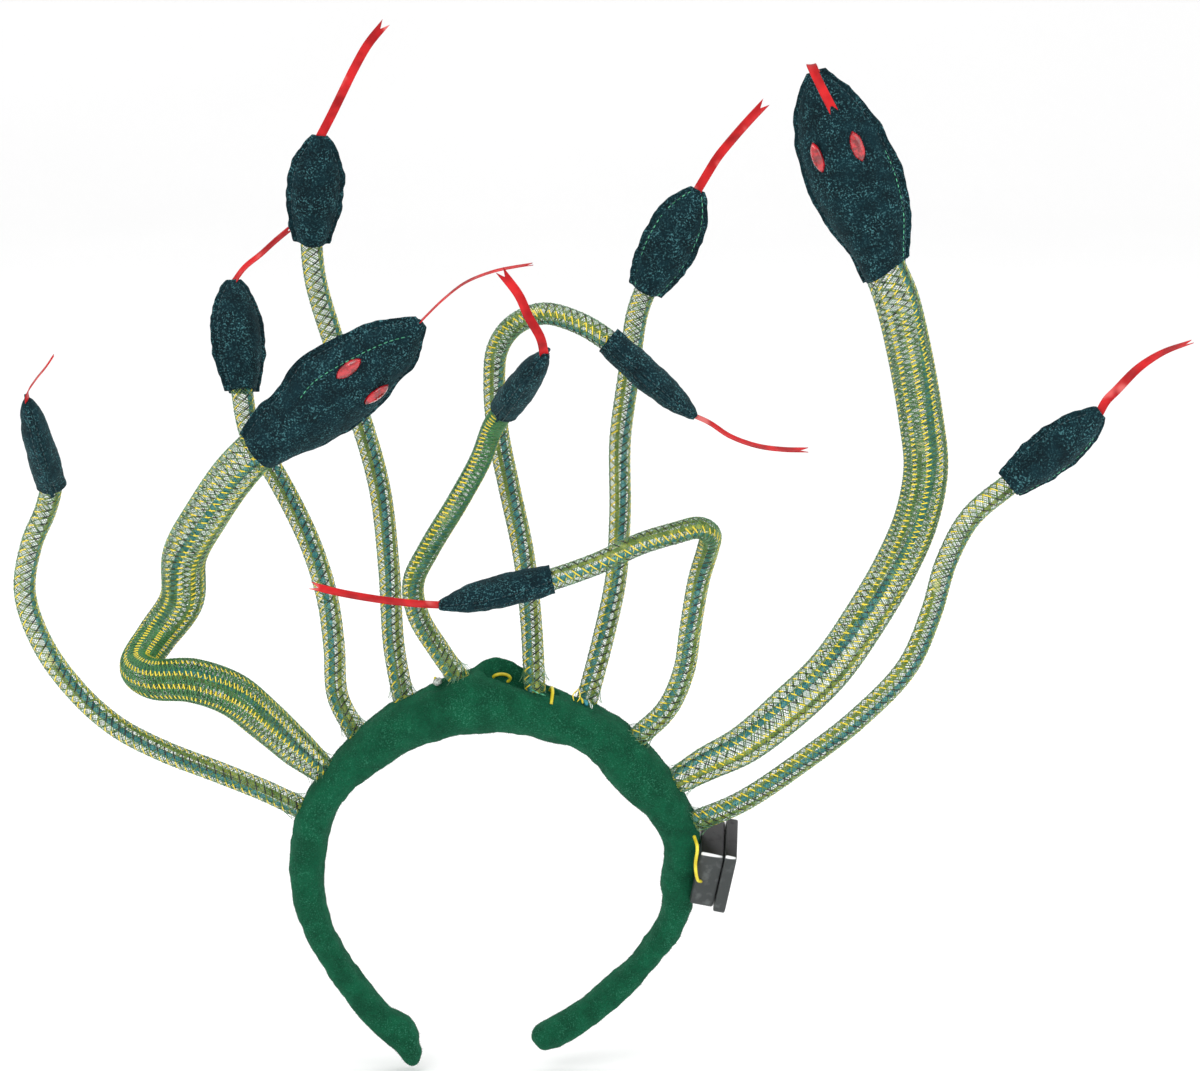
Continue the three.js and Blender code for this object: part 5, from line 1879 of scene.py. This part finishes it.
@dataclass
class OpenWires:
    """The thin yellow wires that show at the slit and behind the battery box."""

    band: FeltBand
    box: BatteryBox
    diameter: float = 1.2
    loop_width: float = 7.5
    loop_height: float = 5.2
    loop_across: float = 2.4
    loop_lean: float = 25
    # how deep the ring stands below the roll's own surface
    loop_depth: float = 4
    # turn, forward and out, in wire diameters
    slit_route: tuple[tuple[float, float, float], ...] = (
        (74.2, 0.02, -1.00),
        (74.0, 0.26, 0.75),
        (73.6, 0.56, 0.80),
        (73.2, 0.80, -0.60),
    )
    # across, up and front, in shares of the box
    battery_route: tuple[tuple[float, float, float], ...] = (
        (-0.10, 0.62, 0.40),
        (0.02, 0.48, 0.56),
        (-0.06, 0.20, 0.62),
        (0.03, -0.05, 0.60),
        (0.20, -0.14, 0.46),
    )

    def wire(self, name: str, places: Array, node: str, material: Material) -> None:
        """Makes one open wire along its places."""
        points = smooth_route(places, 8)
        piece = sweep(name, Line(points), [self.diameter / 2] * len(points), 10)
        keep(piece, material, [node])

    def build(self, materials: Materials) -> None:
        """Makes the ring in the slit and the two open wires."""
        inner, roll, _ = self.band.at(self.band.slit_turn)
        floor = self.band.place(self.band.slit_turn, inner + roll - self.loop_depth, self.band.slit_back)
        middle = np.array([
            self.loop_across,
            self.band.slit_back,
            floor[2] + self.loop_height / 2 + self.diameter / 2,
        ])
        lean = Euler((math.radians(self.loop_lean), 0, 0)).to_matrix()
        rings = []
        for step in range(40):
            angle = TURN * step / 40
            out = Vector((math.cos(angle), 0, math.sin(angle)))
            centre = Vector((
                (self.loop_width - self.diameter) / 2 * out.x,
                0,
                (self.loop_height - self.diameter) / 2 * out.z,
            ))
            ring = []
            for side in range(10):
                turn = TURN * side / 10
                place = centre + out * (self.diameter / 2 * math.cos(turn))
                place.y += self.diameter / 2 * math.sin(turn)
                ring.append(np.array(lean @ place) + middle)
            rings.append(np.array(ring))
        keep(loft("slit_ring", rings, looped=True), materials.wire, ["wire_loop"])
        slit = np.array([self.band.on(turn, forward, self.diameter * out) for turn, forward, out in self.slit_route])
        self.wire("slit_lead", slit, "slit_wire", materials.wire)
        middle = self.box.middle()
        battery = np.array([
            (
                middle[0] + self.box.left + self.box.body_width * across,
                middle[1] - self.box.depth * front,
                middle[2] + self.box.height * up,
            )
            for across, up, front in self.battery_route
        ])
        self.wire("battery_lead", battery, "battery_wire", materials.wire)


@dataclass(frozen=True)
class Bit:
    """One loose bit on the felt: its name, thickness, places (turn, forward, out) and kind."""

    name: str
    girth: float
    places: tuple[tuple[float, float, float], ...]
    kind: str


BITS = (
    Bit("glue", 3.2, ((104.4, 0.16, 0.4), (105.4, 0.20, 0.9), (106.4, 0.26, 0.4)), "glue"),
    Bit("glue_dot", 0.8, ((105.6, 0.12, 2.2), (105.9, 0.16, 2.5), (106.2, 0.20, 2.2)), "yellow"),
    Bit("leaf_edge_left", 0.45, ((67.0, 0.30, 0.1), (67.8, 0.22, 1.7), (67.0, 0.10, 4.2)), "olive"),
    Bit("leaf_edge_right", 0.45, ((66.0, 0.30, 0.1), (65.8, 0.22, 1.8), (67.0, 0.10, 4.2)), "olive"),
    Bit("stub_wire", 0.9, ((65.4, 0.20, 1.5), (64.9, 0.26, 1.1), (64.4, 0.32, 0.3)), "yellow"),
    Bit("stub_film", 1.7, ((64.6, 0.18, 0.6), (63.8, 0.28, 1.0), (63.2, 0.38, 0.3)), "teal"),
    Bit("stub_strand_1", 0.4, ((63.4, 0.14, 1.6), (62.6, 0.24, 1.0), (62.0, 0.38, 0.2)), "pale"),
    Bit("stub_strand_2", 0.4, ((62.4, 0.20, 0.8), (61.8, 0.30, 0.8), (61.6, 0.42, 0.2)), "pale"),
    Bit("slit_stitch_1", 0.5, ((79.8, 0.70, 0.3), (78.6, 0.735, 0.5), (77.4, 0.74, 0.3)), "green"),
    Bit("slit_stitch_2", 0.5, ((77.0, 0.73, 0.3), (76.2, 0.735, 0.5), (75.3, 0.72, 0.3)), "green"),
    Bit("side_thread_1", 0.3, ((11.0, 0.58, 0.2), (9.0, 0.70, 0.5), (7.5, 0.62, 0.2)), "pale"),
    Bit("side_thread_2", 0.3, ((4.5, 0.62, 0.2), (2.5, 0.72, 0.6), (0.5, 0.66, 0.2)), "pale"),
    Bit("side_thread_3", 0.3, ((0.0, 0.70, 0.2), (-1.5, 0.75, 0.4), (-3.0, 0.66, 0.2)), "pale"),
)


@dataclass
class LooseBits:
    """The glue, the strand ends and the threads that lie on the felt."""

    band: FeltBand
    sides: int = 7

    def build(self, materials: Materials) -> None:
        """Makes each bit."""
        finishes = {
            "glue": (materials.glue, Slot.FELT),
            "olive": (materials.second_bold[Size.SMALL], Slot.NET),
            "yellow": (materials.wire, Slot.WIRE),
            "teal": (materials.film, Slot.NET),
            "pale": (materials.pale_thread, Slot.FELT),
            "green": (materials.thread, Slot.FELT),
        }
        for bit in BITS:
            places = smooth_route(np.array([self.band.on(*place) for place in bit.places]), 6)
            swell = np.sin(np.linspace(0.25, math.pi - 0.25, len(places))) ** 0.5
            material, slot = finishes[bit.kind]
            keep(sweep("loose_" + bit.name, Line(places), list(bit.girth / 2 * swell), self.sides), material)


# Studio


@dataclass
class Studio:
    """The pale floor, the soft lights and the camera."""

    elevation: float = 12
    distance: float = 1600
    aim: tuple[float, float, float] = (37.8, 0, 71.6)
    lens: float = 134.6
    floor: float = -128.6

    def camera(self) -> None:
        """Sets the camera at the photograph's angle."""
        angle = math.radians(self.elevation)
        target = Vector(self.aim) * MM
        away = Vector((0, -math.cos(angle), math.sin(angle)))
        data = bpy.data.cameras.new("camera")
        data.lens = self.lens
        data.sensor_width = 36
        data.clip_end = 20
        camera = bpy.data.objects.new("camera", data)
        camera.location = target + away * self.distance * MM
        camera.rotation_euler = (math.pi / 2 - angle, 0, 0)
        bpy.context.scene.collection.objects.link(camera)
        bpy.context.scene.camera = camera

    def light(self, name: str, place: tuple[float, float, float], size: float, power: float) -> None:
        """Adds one soft square light that faces the headpiece, with its place in metres."""
        data = bpy.data.lights.new(name, "AREA")
        data.size = size
        data.energy = power
        lamp = bpy.data.objects.new(name, data)
        lamp.location = place
        lamp.rotation_euler = (Vector((0, 0, 0.05)) - Vector(place)).to_track_quat("-Z", "Y").to_euler()
        bpy.context.scene.collection.objects.link(lamp)

    def backdrop(self) -> None:
        """Makes the pale floor that curves up behind."""
        profile = [(-3.0, 0.0), (2.2, 0.0)]
        profile += [(2.2 + math.sin(a) * 0.8, 0.8 - math.cos(a) * 0.8) for a in np.linspace(0.15, math.pi / 2, 12)]
        profile.append((3.0, 4.5))
        points = [(x, y, z + self.floor * MM) for y, z in profile for x in (-4, 4)]
        faces = [(2 * i, 2 * i + 1, 2 * i + 3, 2 * i + 2) for i in range(len(profile) - 1)]
        floor = new_piece("pale_floor", np.array(points) / MM, faces)
        pale = Surface("pale_floor", Roughness=0.9)
        shade = pale.ramp(pale.noise(pale.place, 3), 0.2, 0.8)
        pale.feed("Base Color", pale.mix(shade, (0.97, 0.97, 0.97), (0.985, 0.985, 0.985)))
        pale.shader.inputs["Specular IOR Level"].default_value = 0.1
        floor.data.materials.append(pale.material)

    def build(self) -> None:
        """Sets up the whole studio."""
        self.camera()
        self.backdrop()
        bpy.context.scene.view_settings.view_transform = "Standard"
        world = bpy.data.worlds.new("soft_sky")
        world.use_nodes = True
        world.node_tree.nodes["Background"].inputs[0].default_value = (1, 1, 1, 1)
        world.node_tree.nodes["Background"].inputs[1].default_value = 0.9
        bpy.context.scene.world = world
        self.light("key", (-0.9, -1.5, 1.3), 1.2, 13)
        self.light("fill", (1.3, -1.1, 0.7), 1.4, 7)
        self.light("top", (0.1, 0.3, 1.7), 1.2, 7)


def main() -> None:
    """Builds every piece in order."""
    logging.basicConfig(level=logging.INFO, format="%(message)s")
    Studio().build()
    materials = make_materials()
    trees = {"twine": twine_tree(), "fuzz": fuzz_tree(), "stitch": stitch_tree()}
    band = FeltBand()
    band.build(materials, trees)
    for plan in PLANS:
        Snake(plan, band).build(materials, trees)
    box = BatteryBox(band)
    box.build(materials)
    OpenWires(band, box).build(materials)
    LooseBits(band).build(materials)


if __name__ == "__main__":
    main()
